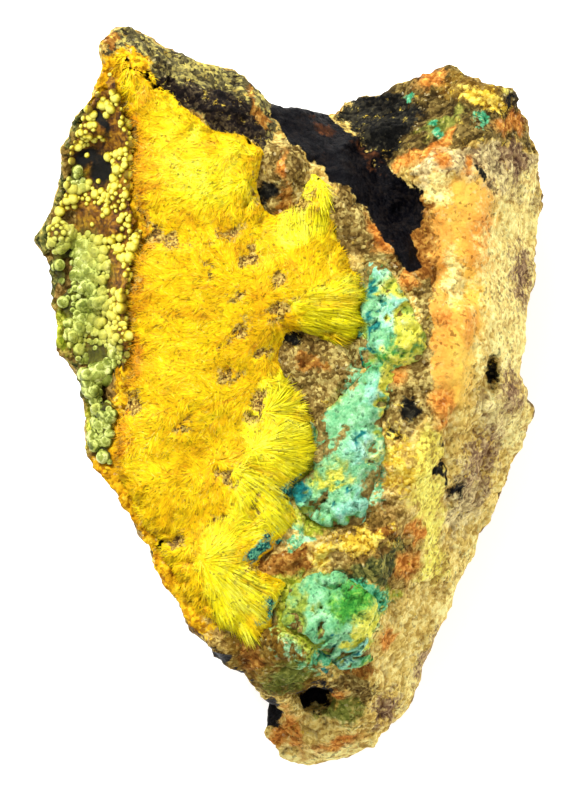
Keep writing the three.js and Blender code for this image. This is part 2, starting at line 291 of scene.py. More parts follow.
def makeThreeTone():
    # dark, middle and light colour of one mineral, picked by a value around 0.5
    tree, inlet, outlet = newGroup(
        "threeTone",
        [("Value", numberSocket, 0.5), ("Spread", numberSocket, 0.14), ("Dark", colourSocket, (0, 0, 0, 1)),
         ("Middle", colourSocket, (0.5, 0.5, 0.5, 1)), ("Light", colourSocket, (1, 1, 1, 1))],
        [("Color", colourSocket)])
    value, spread, dark, middle, light = inlet.outputs[:5]
    low = addMath(tree, "SUBTRACT", 0.5, spread)
    high = addMath(tree, "ADD", 0.5, spread)
    lower = mixColours(tree, addRange(tree, value, low, 0.5), dark, middle)
    upper = mixColours(tree, addRange(tree, value, 0.5, high), lower, light)
    feed(tree, outlet, {"Color": upper})
    return tree


def makeBrokenEdge():
    # a soft mask cut into an irregular patch with a grainy border
    tree, inlet, outlet = newGroup(
        "brokenEdge",
        [("Mask", numberSocket, 0.0), ("Grain", numberSocket, 0.5), ("Raggedness", numberSocket, 0.5),
         ("Softness", numberSocket, 0.08)],
        [("Factor", numberSocket)])
    mask, grain, raggedness, softness = inlet.outputs[:4]
    ragged = shifted(tree, mask, grain, raggedness)
    low = addMath(tree, "SUBTRACT", 0.5, softness)
    high = addMath(tree, "ADD", 0.5, softness)
    feed(tree, outlet, {"Factor": addRange(tree, ragged, low, high, True)})
    return tree


grainFields = makeGrainFields()
threeTone = makeThreeTone()
brokenEdge = makeBrokenEdge()


def newMaterial(name):
    material = bpy.data.materials.new(name)
    material.use_nodes = True
    tree = material.node_tree
    return material, tree, tree.nodes["Principled BSDF"]


def useFields(tree, cloudScale, grainScale, cellScale):
    scales = {"Cloud Scale": cloudScale, "Grain Scale": grainScale, "Cell Scale": cellScale}
    return addNode(tree, "ShaderNodeGroup", scales, node_tree=grainFields).outputs


def useTones(tree, value, tones, spread=0.14):
    dark, middle, light = [srgb(*tone) for tone in tones]
    sockets = {"Value": value, "Spread": spread, "Dark": dark, "Middle": middle, "Light": light}
    return addNode(tree, "ShaderNodeGroup", sockets, node_tree=threeTone).outputs["Color"]


def useEdge(tree, mask, grain, raggedness, softness):
    soft = attributeOf(tree, mask)
    sockets = {"Mask": soft, "Grain": grain, "Raggedness": raggedness, "Softness": softness}
    return addNode(tree, "ShaderNodeGroup", sockets, node_tree=brokenEdge).outputs["Factor"]


# host rock

rock = {
    "voxel": 0.385,
    "fineFaces": {"rise": 0.15, "height": 8},  # faces that look up and lie above this are cut finer
    "lump": {"scale": 0.4, "height": 0.5},
    "crack": {"scale": 0.36, "width": 0.12, "depth": 0.16},
    "grain": {"scale": 1.6, "height": 0.13},
    "fields": (520, 1300, 4200),  # scales of the clouds, grains and crystals in its colour
    "speckFields": (300, 900, 5000),
    "toneSpread": 0.12,
    "granularity": 0.2,  # how much the tone differs from one crystal grain to the next
    "darkSpecks": 0.6,
    "lightSpecks": 0.4,
    "grit": [(190, 160, 100), (236, 214, 150), (255, 246, 206)],  # colours of the light specks
    "stainWander": 0.6,  # how far the borders of the stains stray
    "wallTurn": (-0.1, 0.15),  # height of the normal, where the upper face turns into the walls
    "footFade": (0.3, 2.5),  # the flat foot stays flat
    "coatFoot": (3, 8),  # heights between which the black coat ends on the walls
    "calmFaces": ["peach", "film", "blackCoatAndShadow", "cream"],
    "softTones": ["peach", "deepPeach"],
    "cleanCoats": ["blockDark", "blackCoatAndShadow"],  # without light specks
    "wallMottle": [  # stain, share, scale and shift of its pattern
        ("brown", 0.55, 0.2, 40.0), ("greyBeige", 0.36, 0.16, 80.0), ("mauve", 0.3, 0.22, 60.0),
        ("matrix", 0.4, 0.3, 90.0), ("blockDark", 0.2, 0.3, 70.0), ("rust", 0.18, 0.35, 100.0)],
    "tones": [(176, 140, 64), (228, 196, 102), (253, 236, 152)],
    "rough": 0.85,
    "bump": {"strength": 0.9, "depth": 0.2},
}

# stains and coats on the rock, from the lowest layer to the topmost: dark, middle and light colour,
# how ragged and how soft the border is, and the roughness
rockStains = {
    "brown": {"tones": [(84, 62, 20), (134, 104, 46), (184, 150, 80)], "edge": (2, 0.2), "rough": 0.85},
    "greyBeige": {"tones": [(120, 98, 68), (204, 182, 122), (244, 226, 160)],
                  "edge": (1.8, 0.15), "rough": 0.85},
    "peach": {"tones": [(226, 158, 58), (241, 192, 78), (250, 214, 100)],
              "edge": (1.8, 0.35), "rough": 0.65},
    "deepPeach": {"tones": [(210, 128, 46), (230, 156, 62), (243, 184, 86)],
                  "edge": (1.7, 0.35), "rough": 0.65},
    "cream": {"tones": [(200, 164, 90), (246, 224, 134), (255, 246, 164)],
              "edge": (1.8, 0.2), "rough": 0.8},
    "mauve": {"tones": [(88, 62, 46), (142, 110, 78), (204, 176, 122)], "edge": (3.6, 0.2), "rough": 0.85},
    "crestRock": {"tones": [(45, 39, 25), (98, 90, 56), (196, 182, 96)], "edge": (1.6, 0.06), "rough": 0.8},
    "crestDark": {"tones": [(8, 4, 3), (28, 20, 17), (78, 66, 44)], "edge": (1.7, 0.1), "rough": 0.6},
    "blockBrown": {"tones": [(52, 40, 16), (92, 74, 34), (146, 124, 66)],
                   "edge": (1.7, 0.14), "rough": 0.85},
    "matrix": {"tones": [(78, 58, 22), (136, 110, 54), (204, 184, 108)],
               "edge": (1.6, 0.06), "rough": 0.85},
    "film": {"tones": [(164, 138, 52), (238, 220, 88), (255, 248, 118)], "edge": (2, 0.3), "rough": 0.55},
    "blockDark": {"tones": [(4, 4, 3), (20, 19, 15), (58, 54, 40)], "edge": (1.8, 0.12), "rough": 0.7},
    "lobeBrown": {"tones": [(96, 66, 14), (128, 97, 32), (156, 130, 58)],
                  "edge": (1.6, 0.1), "rough": 0.75},
    "lobeGreen": {"tones": [(78, 88, 26), (112, 118, 44), (150, 152, 68)],
                  "edge": (1.8, 0.2), "rough": 0.75},
    "bossDark": {"tones": [(34, 40, 18), (84, 88, 42), (158, 150, 74)], "edge": (1.8, 0.12), "rough": 0.7},
    "orange": {"tones": [(150, 84, 26), (202, 126, 48), (238, 172, 80)], "edge": (1.4, 0.3), "rough": 0.8},
    "rust": {"tones": [(108, 62, 18), (152, 100, 38), (190, 142, 64)], "edge": (1.8, 0.1), "rough": 0.8},
    "turquoise": {"tones": [(64, 140, 92), (116, 190, 130), (176, 230, 178)],
                  "edge": (1.8, 0.08), "rough": 0.7},
    "tealSpot": {"tones": [(4, 66, 74), (22, 108, 108), (80, 172, 150)], "edge": (1.4, 0.15), "rough": 0.6},
    "lime": {"tones": [(112, 128, 24), (168, 176, 44), (222, 222, 88)], "edge": (1.8, 0.25), "rough": 0.7},
    "greenSpot": {"tones": [(24, 100, 62), (66, 158, 110), (120, 204, 150)],
                  "edge": (2, 0.12), "rough": 0.7},
    "golden": {"tones": [(170, 112, 8), (226, 168, 14), (248, 206, 36)], "edge": (1.8, 0.15), "rough": 0.7},
    "ochreGrain": {"tones": [(160, 116, 24), (218, 182, 52), (248, 226, 104)],
                   "edge": (4, 0.15), "rough": 0.7},
    # black coat of the notch, also used for painted shadow along the lower-left rim and in pits
    "blackCoatAndShadow": {"tones": [(1, 1, 4), (6, 5, 9), (26, 21, 19)], "edge": (0.9, 0.05), "rough": 0.42},
    "rustStreak": {"tones": [(36, 19, 10), (62, 34, 16), (96, 56, 30)], "edge": (2.4, 0.2), "rough": 0.6},
}

# outlines of the larger patches, in millimetres, seen from above
rockPatches = [
    {"stain": "crestRock", "fade": 0.5, "corners": [
        (-13.6, 25.2), (-11.7, 26.4), (-8.8, 25.2), (-5.3, 23.6), (-2, 22.4), (-1.4, 20.5), (-1.1, 18.1),
        (-2, 17.2), (-3.9, 17.9), (-5.3, 18.2), (-7, 20), (-9.2, 21.2), (-9.9, 23), (-11.3, 23.6),
        (-13, 23.8)]},
    {"stain": "crestDark", "fade": 0.5, "corners": [
        (-9.4, 22.6), (-6.4, 21.8), (-4.2, 21.2), (-2.2, 20.2), (-1.3, 18.2), (-2.2, 17.2), (-4, 17.9),
        (-5.6, 18.6), (-6.9, 20.1), (-9, 21)]},
    {"stain": "blackCoatAndShadow", "fade": 0.6, "corners": [
        (-1.7, 20.9), (0, 20.8), (1.9, 20.4), (3.8, 19.1), (4.8, 18.1), (6.6, 16.3), (8.4, 14.9),
        (9.4, 14.6), (9.1, 13.2), (8.5, 10.7), (8, 9.3), (7.2, 9.8), (6.8, 11.1), (6, 12.3), (4.8, 13.5),
        (4, 14.6), (2.7, 15.4), (1.9, 16.7), (0.6, 17.4), (-0.6, 18.2), (-1.3, 19.5)]},
    {"stain": "blockBrown", "fade": 0.7, "corners": [
        (4.4, 21.6), (8, 22.6), (11.2, 24), (15, 23), (16.8, 21), (17.2, 17.4), (14.7, 18.1), (12.6, 18.1),
        (10.5, 17.4), (8.7, 16.7), (7.7, 15.6), (6.6, 16.3), (4.8, 18.1)]},
    {"stain": "blockDark", "fade": 0.8, "corners": [
        (3, 20.6), (5.2, 21.6), (7.4, 21.8), (9.4, 20.4), (8.6, 18.6), (7.4, 17.4), (6.4, 16.6),
        (4.8, 18.2)]},
    {"stain": "greyBeige", "fade": 0.9, "corners": [
        (8.7, 16.7), (10.5, 17.4), (14.7, 18.1), (17.6, 17.2), (18, 13), (14.7, 13.9), (12.6, 14.9),
        (10.5, 14.9), (9.1, 14.6)]},
    {"stain": "peach", "fade": 1.1, "corners": [
        (9.6, 14.4), (11.2, 15.3), (12.9, 15.6), (14.4, 13.5), (14.8, 10.4), (14.1, 6.8), (13.1, 3.3),
        (12.4, -0.2), (10.5, -1.2), (9.6, 0.2), (9.8, 4.7), (10, 8.3), (9.9, 11.1), (9.9, 12.8)]},
    {"stain": "rust", "fade": 0.7, "corners": [
        (8.5, 13.9), (9.3, 14.2), (9.9, 12.8), (10, 11), (10.2, 8.4), (9.9, 7.2), (9, 8), (8.4, 10),
        (8.3, 12)]},
    {"stain": "matrix", "fade": 0.5, "corners": [
        (3.1, 15.6), (4.1, 14.6), (6, 12.3), (7, 10.4), (8.5, 10.7), (9.8, 8.3), (9.6, 3.3), (7.7, 3.2),
        (8.9, 4.7), (8.6, 6.8), (7.2, 8.6), (5.6, 9.6), (3.8, 10), (2.7, 11.4), (2.7, 13.5)]},
    {"stain": "matrix", "fade": 0.5, "corners": [
        (-1.8, 17.6), (-0.4, 18.1), (0.6, 17.4), (1.9, 16.3), (0.6, 14), (-1.1, 12.2), (-2.5, 13.5),
        (-2.5, 15.3)]},
    {"stain": "matrix", "fade": 0.5, "corners": [
        (-0.8, 5), (0.6, 4.6), (2.2, 4), (3.4, 3.9), (4.7, 3), (5.2, 1.2), (4.5, -0.2), (3.1, -1.2),
        (2, -2.5), (1.2, -0.9), (0.3, 0.2), (-0.9, 1.6)]},
    {"stain": "matrix", "fade": 0.8, "corners": [
        (6.9, 3.4), (9.6, 3.4), (9.8, 0.2), (9.6, -1.6), (8.2, -2.6), (7, -3.3), (6.2, -1.6), (6.1, 0.5)]},
    {"stain": "film", "fade": 0.9, "corners": [
        (9.4, -2.3), (10.6, -2), (10.6, -5.8), (10.4, -10), (10.9, -12.3), (9, -12.9), (9.3, -10.4),
        (8.9, -8.6), (8.3, -6.5), (8.2, -4), (8.6, -3.2)]},
    {"stain": "orange", "fade": 0.4, "corners": [
        (7.1, 16.4), (9.1, 17.5), (10.5, 18.2), (11.5, 19.5), (11.7, 18.5), (10.6, 17.3), (9.3, 16.5),
        (7.4, 15.7)]},
    {"stain": "golden", "fade": 0.8, "corners": [
        (-14.5, -4), (-13.1, -7.2), (-11.3, -10), (-9.9, -12.5), (-8.5, -14.6), (-6.7, -16.7), (-5.4, -16),
        (-7, -13), (-8.8, -10), (-10.2, -7.4), (-12, -4.4)]},
    {"stain": "golden", "fade": 0.6, "corners": [
        (-10.3, 17.6), (-10.6, 15.6), (-10.5, 13.4), (-9.8, 11.2), (-10.4, 9.4), (-10.9, 6.8),
        (-10.6, 3.6), (-11, 0.6), (-11.7, -2.2), (-12, -5), (-13.3, -5), (-13, -2.4), (-12.3, 0.6),
        (-11.8, 3.6), (-12.1, 6.8), (-11.6, 9.4), (-10.9, 11.2), (-11.7, 13.4), (-11.8, 15.6),
        (-11.5, 17.6)]},
    {"stain": "golden", "fade": 0.7, "corners": [
        (-13.2, 24.5), (-12.6, 24.3), (-11.3, 24.1), (-10, 23.6), (-9.5, 22.4), (-9.9, 21.4),
        (-11.3, 20.4), (-12.7, 20.2), (-14.2, 20.4), (-14.4, 21.6), (-13.8, 23)]},
    {"stain": "bossDark", "fade": 0.8, "corners": [
        (3.2, -12.6), (4.6, -11.4), (6.4, -11), (7.2, -9.8), (8.2, -10.2), (8, -12), (6.8, -13.4),
        (4.8, -13.3)]},
    {"stain": "lime", "fade": 0.8, "corners": [
        (-1.4, -12.6), (0.6, -12.4), (3.4, -12.7), (5.6, -13.4), (7.6, -13.6), (7, -14.6), (5.8, -15.6),
        (5.4, -17.4), (3.4, -19), (1, -18), (-0.6, -16), (-0.8, -14)]},
    {"stain": "rust", "fade": 0.5, "corners": [
        (-3.4, -11.9), (-1.5, -11.2), (0.9, -9.9), (1.6, -12.1), (0.3, -13.2), (-1.5, -12.5)]},
    {"stain": "lobeBrown", "fade": 0.8, "corners": [
        (-4.2, -16.4), (-1.1, -15.6), (0.6, -16.6), (2.2, -18.4), (1.9, -20.7), (0.4, -21.4),
        (-0.8, -20.9), (-2.4, -20.4), (-3.8, -19.1), (-5, -17.6)]},
]

# smaller ones, each an ellipse: x and y of its middle, its half-widths, and its turn in degrees
rockSpots = {
    "brown": [(-12, 2, 13, 30), (5.6, -10, 3.4, 5)],
    "greyBeige": [(15, -1, 1.8, 2.6), (12.2, -7, 1.2, 3, -20)],
    "deepPeach": [(10.5, 10.6, 0.8, 3), (13.3, 11.4, 1.2, 3), (10.3, 3.4, 0.9, 3.6), (12.2, 5.2, 0.9, 1.6)],
    "cream": [
        (16, 6, 2.6, 9), (14.6, 4, 0.9, 6, 6), (11.4, 8.4, 0.8, 1.8), (10.3, 14.6, 0.7, 1.5),
        (16.9, 14.9, 0.7, 1.4), (10.1, 20.6, 1.1, 0.35), (11, -16, 1, 7, -25), (3.6, -25.4, 4.4, 0.8, 8)],
    "mauve": [
        (15.6, 17, 0.9, 1.5, 20), (16.2, 8.6, 0.7, 2), (15.6, 0.6, 0.8, 1.6), (13.4, -4.4, 1, 2.4, -20),
        (9.8, -18.4, 0.9, 1.6, -20), (1.6, 2.4, 2.2, 2), (6.6, -22, 0.9, 1.2, -30)],
    "matrix": [(4.2, -20.6, 1.8, 1.4), (3.3, -10.9, 0.6, 1)],
    "film": [(15.2, 21.7, 0.9, 0.25, -25)],
    "blockDark": [
        (15.2, 20.8, 0.9, 0.4), (13.3, 15.8, 0.25, 0.5), (14.1, 1.8, 0.3, 1.3), (11.7, -6.4, 0.6, 0.5, 30),
        (10.8, -5, 0.14, 2), (8.3, -0.8, 0.5, 0.9), (7.3, -2.7, 0.5, 0.4), (-1.9, 14.3, 0.8, 1),
        (-0.2, 4.2, 0.7, 0.5), (6.4, -12.2, 1.6, 0.6, 20), (7.7, -10.8, 0.5, 1.1, -20)],
    "lobeBrown": [(12.4, 21.6, 2.6, 1.1, -15)],
    "lobeGreen": [(0, -19.4, 1.8, 1.2, 20), (3.4, -22, 1.6, 0.8), (10.6, 19.2, 1.6, 0.5, 30)],
    "bossDark": [
        (-15.2, 19, 0.5, 1.6, -25), (-16.2, 15.4, 0.5, 1.8, -12), (-17.2, 11.4, 0.7, 1.3),
        (-16.8, 8, 0.5, 2), (-15, 1.4, 0.5, 1.6, 25)],
    "orange": [
        (15.4, 19.2, 1, 0.6), (-11.8, 23, 0.9, 0.6, 20), (10.8, 5.7, 0.5, 0.5), (10.6, -0.6, 0.8, 1.2),
        (8.2, -11.6, 0.6, 1), (9.8, 22.4, 1.1, 0.6, 20), (16, 19.7, 0.7, 0.5), (10.6, 16.5, 0.6, 0.5),
        (12.5, 16.2, 0.35, 0.7, -30), (0.2, -23.4, 0.5, 1.7, 20), (-0.8, -23.8, 0.4, 1, -20),
        (3.4, -24.4, 1.5, 0.5, 20), (3.2, -20.9, 0.7, 0.5), (6.5, 11.2, 0.7, 1.6, 25),
        (8.2, 8.4, 0.6, 0.8), (7.6, 1.4, 0.7, 0.6), (-0.6, 16.2, 0.3, 1), (6.5, -5, 0.9, 0.35, 45),
        (8.7, -9.4, 0.4, 0.9, -20), (6.7, -17, 0.7, 0.6, 30)],
    "rust": [
        (-12.8, 25, 0.5, 0.5), (5.1, -16.6, 0.7, 0.5, 20), (4.7, -19, 0.9, 0.5),
        (-2.4, 20.2, 0.3, 1.3, 30), (1.4, 2.4, 1, 0.6, -30), (-2.8, -18, 1.2, 0.9, -40),
        (6.6, -9.4, 0.8, 0.5), (-0.3, 13.9, 0.7, 1)],
    "turquoise": [
        (4.2, -4.8, 2.3, 3), (5.2, 0.2, 1.3, 2), (1.9, -2.8, 1.3, 0.5, -45), (0.9, -9.6, 1, 0.5, 20),
        (2.4, -15.6, 3.1, 3), (0.4, -9, 0.5, 0.7, 30)],
    "tealSpot": [
        (0, -6.4, 0.7, 0.9), (1.2, -16.3, 0.5, 0.28, 10), (2.5, -18.9, 0.28, 0.6), (1.4, -7.7, 0.4, 0.3)],
    "lime": [
        (0.9, -5.2, 0.5, 1.2, -45), (0.5, -8, 0.6, 0.8), (-0.6, -15.2, 0.6, 1.2),
        (1.6, -8.4, 1.3, 0.6, -20), (1.2, -8.6, 0.9, 0.5, -20), (-16.2, 4.8, 0.5, 1.8, 16),
        (-14.2, -1.8, 0.5, 1.6), (6.3, -14.4, 1.1, 0.6, 30)],
    "greenSpot": [
        (8.2, 21.3, 0.4, 0.3), (4.4, -12.9, 1.2, 0.5, -20), (13.4, 19.6, 0.8, 0.6), (10.2, 18.8, 0.5, 0.4),
        (5.4, -14.2, 1.6, 0.9), (2.2, -17.9, 1, 0.6)],
    "ochreGrain": [
        (7.5, -4.8, 1, 1.9, 20), (2.1, -11.2, 0.7, 1), (13.4, 21, 1.6, 0.5, -20),
        (4.7, -9.9, 1.7, 0.8, 8)],
    # black coat near the notch, and black painted shadow along the lower-left rim and in the two pits near
    # the tip
    "blackCoatAndShadow": [
        (8.3, 9.7, 0.7, 0.9, 20), (-5.1, -18.6, 3.4, 0.7, -42), (1.7, -20.9, 1.3, 0.8, 20),
        (-1.3, -22.1, 0.7, 1.5)],
    "rustStreak": [(2.4, 18.8, 0.9, 0.3, -30), (5.4, 16.8, 1.3, 0.25, -45)],
}


def makeRockMaterial():
    material, tree, shader = newMaterial("hostRock")
    fields = useFields(tree, *rock["fields"])
    grain = fields["Grain"]
    mottle = between(tree, fields["Cloud"], grain)
    granular = shifted(tree, mottle, fields["Cell"], rock["granularity"])
    colour = useTones(tree, granular, rock["tones"], rock["toneSpread"])
    rough = rock["rough"]
    sparse = rock["lightSpecks"]
    for name, stain in rockStains.items():
        value = mottle if name in rock["softTones"] else granular
        coat = useTones(tree, value, stain["tones"], rock["toneSpread"])
        edge = useEdge(tree, name, grain, *stain["edge"])
        colour = mixColours(tree, edge, colour, coat)
        rough = mixNumbers(tree, edge, rough, stain["rough"])
        if name in rock["cleanCoats"]:
            sparse = addMath(tree, "MULTIPLY", sparse, addRange(tree, edge, 1.0, 0.2))
    # painted shade: darker in the cracks and grain pits of the displaced surface
    colour = darken(tree, colour, useEdge(tree, "cavityShade", grain, 0.6, 0.3), (140, 106, 66))

    # dark and light specks, crowded in places
    specks = useFields(tree, *rock["speckFields"])
    crowded = addRange(tree, specks["Cloud"], 0.42, 0.58)
    dark = ramp(tree, specks["Cell"], 0.82, 0.86, rock["darkSpecks"])
    colour = darken(tree, colour, addMath(tree, "MULTIPLY", dark, crowded), (72, 50, 30))
    light = ramp(tree, specks["Cell"], 0.05, 0.02, sparse)
    grit = useTones(tree, specks["Grain"], rock["grit"])
    colour = mixColours(tree, addMath(tree, "MULTIPLY", light, crowded), colour, grit)
    feed(tree, shader, {"Base Color": colour, "Roughness": rough, "Specular IOR Level": 0.06})
    addBump(tree, shader, shifted(tree, grain, fields["Facet"], -0.35), **rock["bump"])
    return material


def stainMasks(points, normals):
    # how much of each stain lies at each point, 0.5 on its border
    warped = points.copy()
    warped[:, 0] += rock["stainWander"] * wave(points, 0.8, 4, 11.0)
    warped[:, 1] += rock["stainWander"] * wave(points, 0.8, 4, 23.0)
    masks = {name: np.zeros(len(points)) for name in rockStains}
    for area in rockPatches:
        here = patch(warped, area["corners"], area["fade"])
        masks[area["stain"]] = np.maximum(masks[area["stain"]], here)
    for stain, areas in rockSpots.items():
        masks[stain] = np.maximum(masks[stain], spots(warped, areas))

    # the stains end where the upper face turns into the walls, which are mottled all round
    wall = 1 - smooth(normals[:, 2] + 0.2 * wave(points, 0.5, 3, 50.0), *rock["wallTurn"])
    coated = smooth(points[:, 2] + 2 * wave(points, 0.4, 3, 55.0), *rock["coatFoot"])
    for name in masks:
        masks[name] *= np.maximum(1 - wall, coated) if name == "blackCoatAndShadow" else 1 - wall
    for stain, share, scale, shift in rock["wallMottle"]:
        mottle = wall * (share + 0.6 * wave(points, scale, 3, shift))
        masks[stain] = np.maximum(masks[stain], mottle)
    return masks


def makeRock():
    piece = copyOfNode("host_rock", "hostRockBody", rock["voxel"])
    fine = rock["fineFaces"]
    refine(piece, lambda centre, normal: normal.z > fine["rise"] and centre.z > fine["height"])
    points = pointsOf(piece)
    normals = normalsOf(piece)
    masks = stainMasks(points, normals)
    calm = np.max([masks[name] for name in rock["calmFaces"]], axis=0)
    rugged = (1 - 0.6 * smooth(calm, 0.4, 0.7)) * smooth(points[:, 2], *rock["footFade"])
    lump = rock["lump"]["height"] * wave(points, rock["lump"]["scale"], 3)
    bent = points + 0.5 * wave(points, 0.8, 2, 6.0)[:, None]
    opening = smooth(cracks(bent, rock["crack"]["scale"]), 0, rock["crack"]["width"])
    crack = rock["crack"]["depth"] * (opening - 1)
    grain = rock["grain"]["height"] * wave(points, rock["grain"]["scale"], 4, 5.0)
    points += normals * ((lump + crack + grain) * rugged)[:, None]
    movePoints(piece, points)
    for name, mask in masks.items():
        storeMask(piece, name, mask)
    # where the painted shade of the cracks and pits falls
    storeMask(piece, "cavityShade", 0.22 - 1.5 * (crack + 1.3 * grain) * rugged)
    piece.data.materials.append(makeRockMaterial())
    piece.data.polygons.foreach_set("use_smooth", [True] * len(piece.data.polygons))
    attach(piece, "root")
    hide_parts("host_rock")
    print("host rock", len(piece.data.polygons), "faces")


# kamotoite mat: a felt with blades that radiate from the middle of each spray

mat = {
    "voxel": 0.34,
    "levelling": 70,  # the sprays are flatter than the solid that stands for them
    "linesPerMm": 4,  # fibres drawn on the felt itself
    "lineStretch": 0.45,
    "lineShift": 11,  # from one spray to the next, so that no two share a pattern
    "bladesPerSquareMm": 80,
    "bladeThickness": 0.05,
    "goldenBlade": {"width": 0.09, "length": 0.7, "frizz": 0.5, "tuftPull": 0.8},
    "lemonBlade": {"width": 0.12, "length": 1.5, "frizz": 0.12, "tuftPull": 0.15},
    "fanBack": 0.6,  # how far behind its middle a fan starts, in radii
    "leanAtHeart": 6,  # degrees above the surface
    "leanAtRim": 2,
    "tufts": 260,  # small bundles that break up the large sprays
    "softShading": 0.8,  # share of the felt's own normal in the shading of its blades
    "taper": 1.4,
    "sink": 0.8,  # how far the felt thins out along its border
    "pitDepth": 0.3,
    "hollowFade": 1.8,  # over which the strip along the hollow ends
    "seed": 7,
    "fields": (280, 1500, 6800),  # scales of the clouds, grains and crystals in its colour
    "golden": [(224, 168, 0), (250, 206, 4), (255, 230, 22)],
    "lemon": [(242, 222, 6), (255, 242, 22), (255, 252, 84)],
    "amber": [(168, 98, 6), (226, 152, 8), (250, 198, 14)],
    # colours of the painted highlight on single bright blades
    "paintedGlint": [(255, 236, 60), (255, 246, 110), (255, 252, 160)],
    "soil": [(58, 38, 12), (134, 98, 36), (212, 182, 84)],
    "teal": [(2, 52, 60), (22, 112, 104), (110, 190, 150)],
}

# border of the mat, along which it thins out
matOutline = [
    (-11.9, 24.2), (-12.3, 23.4), (-11.9, 22.4), (-11.3, 20), (-10.6, 17.6), (-10.9, 15.6), (-10.8, 13.4),
    (-9.9, 11.2), (-10.7, 9.4), (-11.2, 6.8), (-10.9, 3.6), (-11.3, 0.6), (-12, -2.2), (-12.1, -5.2),
    (-10.2, -9), (-9, -11.1), (-7.7, -13.5), (-6, -15.6), (-3, -17.1), (-1.4, -16.4), (-0.9, -14.2),
    (-0.2, -12.9), (-2.8, -11.7), (-0.6, -10.2), (0.4, -8.2), (-0.3, -6.4), (1.3, -5), (1.5, -2),
    (0.3, 0.3), (-0.6, 1.8), (-0.4, 4.8), (1.4, 4.4), (3, 3.6), (4.4, 4), (4.7, 6), (4.8, 8.4),
    (3.6, 10.2), (2.6, 12.8), (2.6, 15), (1.4, 16), (0.4, 13.4), (-1.6, 12.6), (-2.4, 14.4), (-1.9, 17.2),
    (-3.2, 18.2), (-5.6, 18.6), (-7, 20.6), (-8.8, 21.6), (-9.8, 22.8), (-10.8, 23.9),
]

# strip of the mat along the hollow, frayed and amber
hollowBorder = [
    (-14, 20.6), (-10.4, 20.6), (-9.6, 17.6), (-9.7, 13.4), (-8.8, 11.2), (-9.6, 8), (-9.9, 3.6),
    (-10.2, 0.6), (-10.9, -2.2), (-11, -5.4), (-14, -5.4),
]

# where the crystals are lemon instead of golden
lemonZones = [
    {"weight": 1, "corners": [
        (-1.6, 2.3), (0.6, 1.2), (1.6, -1.6), (1.8, -3.7), (0.8, -5.8), (0.8, -8.6), (-2, -10.7),
        (-3.9, -9.3), (-4.4, -11.4), (0.6, -13.9), (-1.1, -15.6), (-3.2, -17.6), (-4.8, -16.6),
        (-5.7, -14.2), (-6.4, -12.1), (-6, -9.3), (-3.9, -7.5), (-4.1, -5.1), (-2.5, -3), (-3.2, -1.6),
        (-2, 0.2)]},
    {"weight": 1, "corners": [
        (0.5, 7.5), (2, 7.9), (3.8, 8.5), (5.7, 8), (5.5, 3.7), (3.4, 2.6), (2, 3.3), (0.3, 3.7)]},
    {"weight": 1, "corners": [
        (1, 16.2), (2.9, 16.3), (3.2, 13.9), (2.9, 10.7), (0.6, 10.4), (-0.8, 11.1), (-0.4, 12.5),
        (0.6, 13.6)]},
    {"weight": 0.54, "corners": [
        (-9.8, 21.4), (-7, 20.8), (-5.4, 18.8), (-2, 18), (-2.2, 13.6), (-4.4, 12), (-7.6, 12.6),
        (-9.4, 15)]},
]

# middle and radius of each spray, and the heading in degrees that it fans towards and how strongly
sprays = [
    {"at": (-11, 23.2), "radius": 2.6, "fan": 250, "pull": 1},
    {"at": (-2, 16.6), "radius": 7, "fan": 185, "pull": 0.9},
    {"at": (-5.4, 14.6), "radius": 4.2, "fan": 215, "pull": 1.2},
    {"at": (-5.6, 8.6), "radius": 5.4, "fan": 160, "pull": 0.8},
    {"at": (-3.6, 5.4), "radius": 7, "fan": 185, "pull": 1},
    {"at": (-0.8, 6.6), "radius": 5.4, "fan": 0, "pull": 0.8},
    {"at": (1.4, 9.8), "radius": 3.8, "fan": 88, "pull": 1.2},
    {"at": (-5, 0.4), "radius": 5.6, "fan": 190, "pull": 0.9},
    {"at": (-1.4, -0.8), "radius": 2.6, "fan": 40, "pull": 0.3},
    {"at": (-1.6, -3.6), "radius": 3.2, "fan": 0, "pull": 0.6},
    {"at": (-9, -2), "radius": 3.6, "fan": 220, "pull": 0.8},
    {"at": (-7.6, -6.4), "radius": 4.8, "fan": 220, "pull": 0.9},
    {"at": (-4.2, -5.6), "radius": 5, "fan": -55, "pull": 0.6},
    {"at": (-5.4, -11.8), "radius": 5.6, "fan": -40, "pull": 0.3},
    {"at": (-7.4, -10.8), "radius": 3.6, "fan": 220, "pull": 0.8},
]

# gaps in the mat where the rock shows, ellipses like those on the rock
matGaps = [
    (0.4, 13.8, 1, 1.1), (-1.6, 15.2, 0.9, 1.2), (-4.5, 11.3, 0.9, 0.5, 20), (-5.8, 8.6, 0.3, 0.7, 30),
    (-2.7, 10, 0.6, 0.9, -20), (-0.9, 8.2, 0.6, 0.5), (-3.9, 7, 0.35, 0.5, 30), (-0.9, 6, 1.1, 0.6, 30),
    (-3.4, 4.7, 0.5, 0.8), (-4.8, 3.9, 0.5, 0.4), (-2, 3, 0.5, 0.4), (-4.5, 1.4, 0.8, 0.6),
    (-2.3, -0.6, 0.6, 1), (-7.4, -1.9, 0.6, 0.4), (-10.9, -0.4, 0.6, 0.9), (-9.4, 11.5, 2.3, 0.5, -22),
    (-4.6, -5.4, 1.1, 0.4, -50), (-2.7, -8, 0.25, 0.8, 15), (-2.6, -6.6, 0.25, 0.7, 30),
    (-5.2, -8.4, 0.8, 0.3, -15), (-7.8, -9.9, 0.7, 0.4, 30), (-2, -11.8, 1.8, 0.3, 12),
    (-1, -5.9, 0.9, 0.12, 5),
]

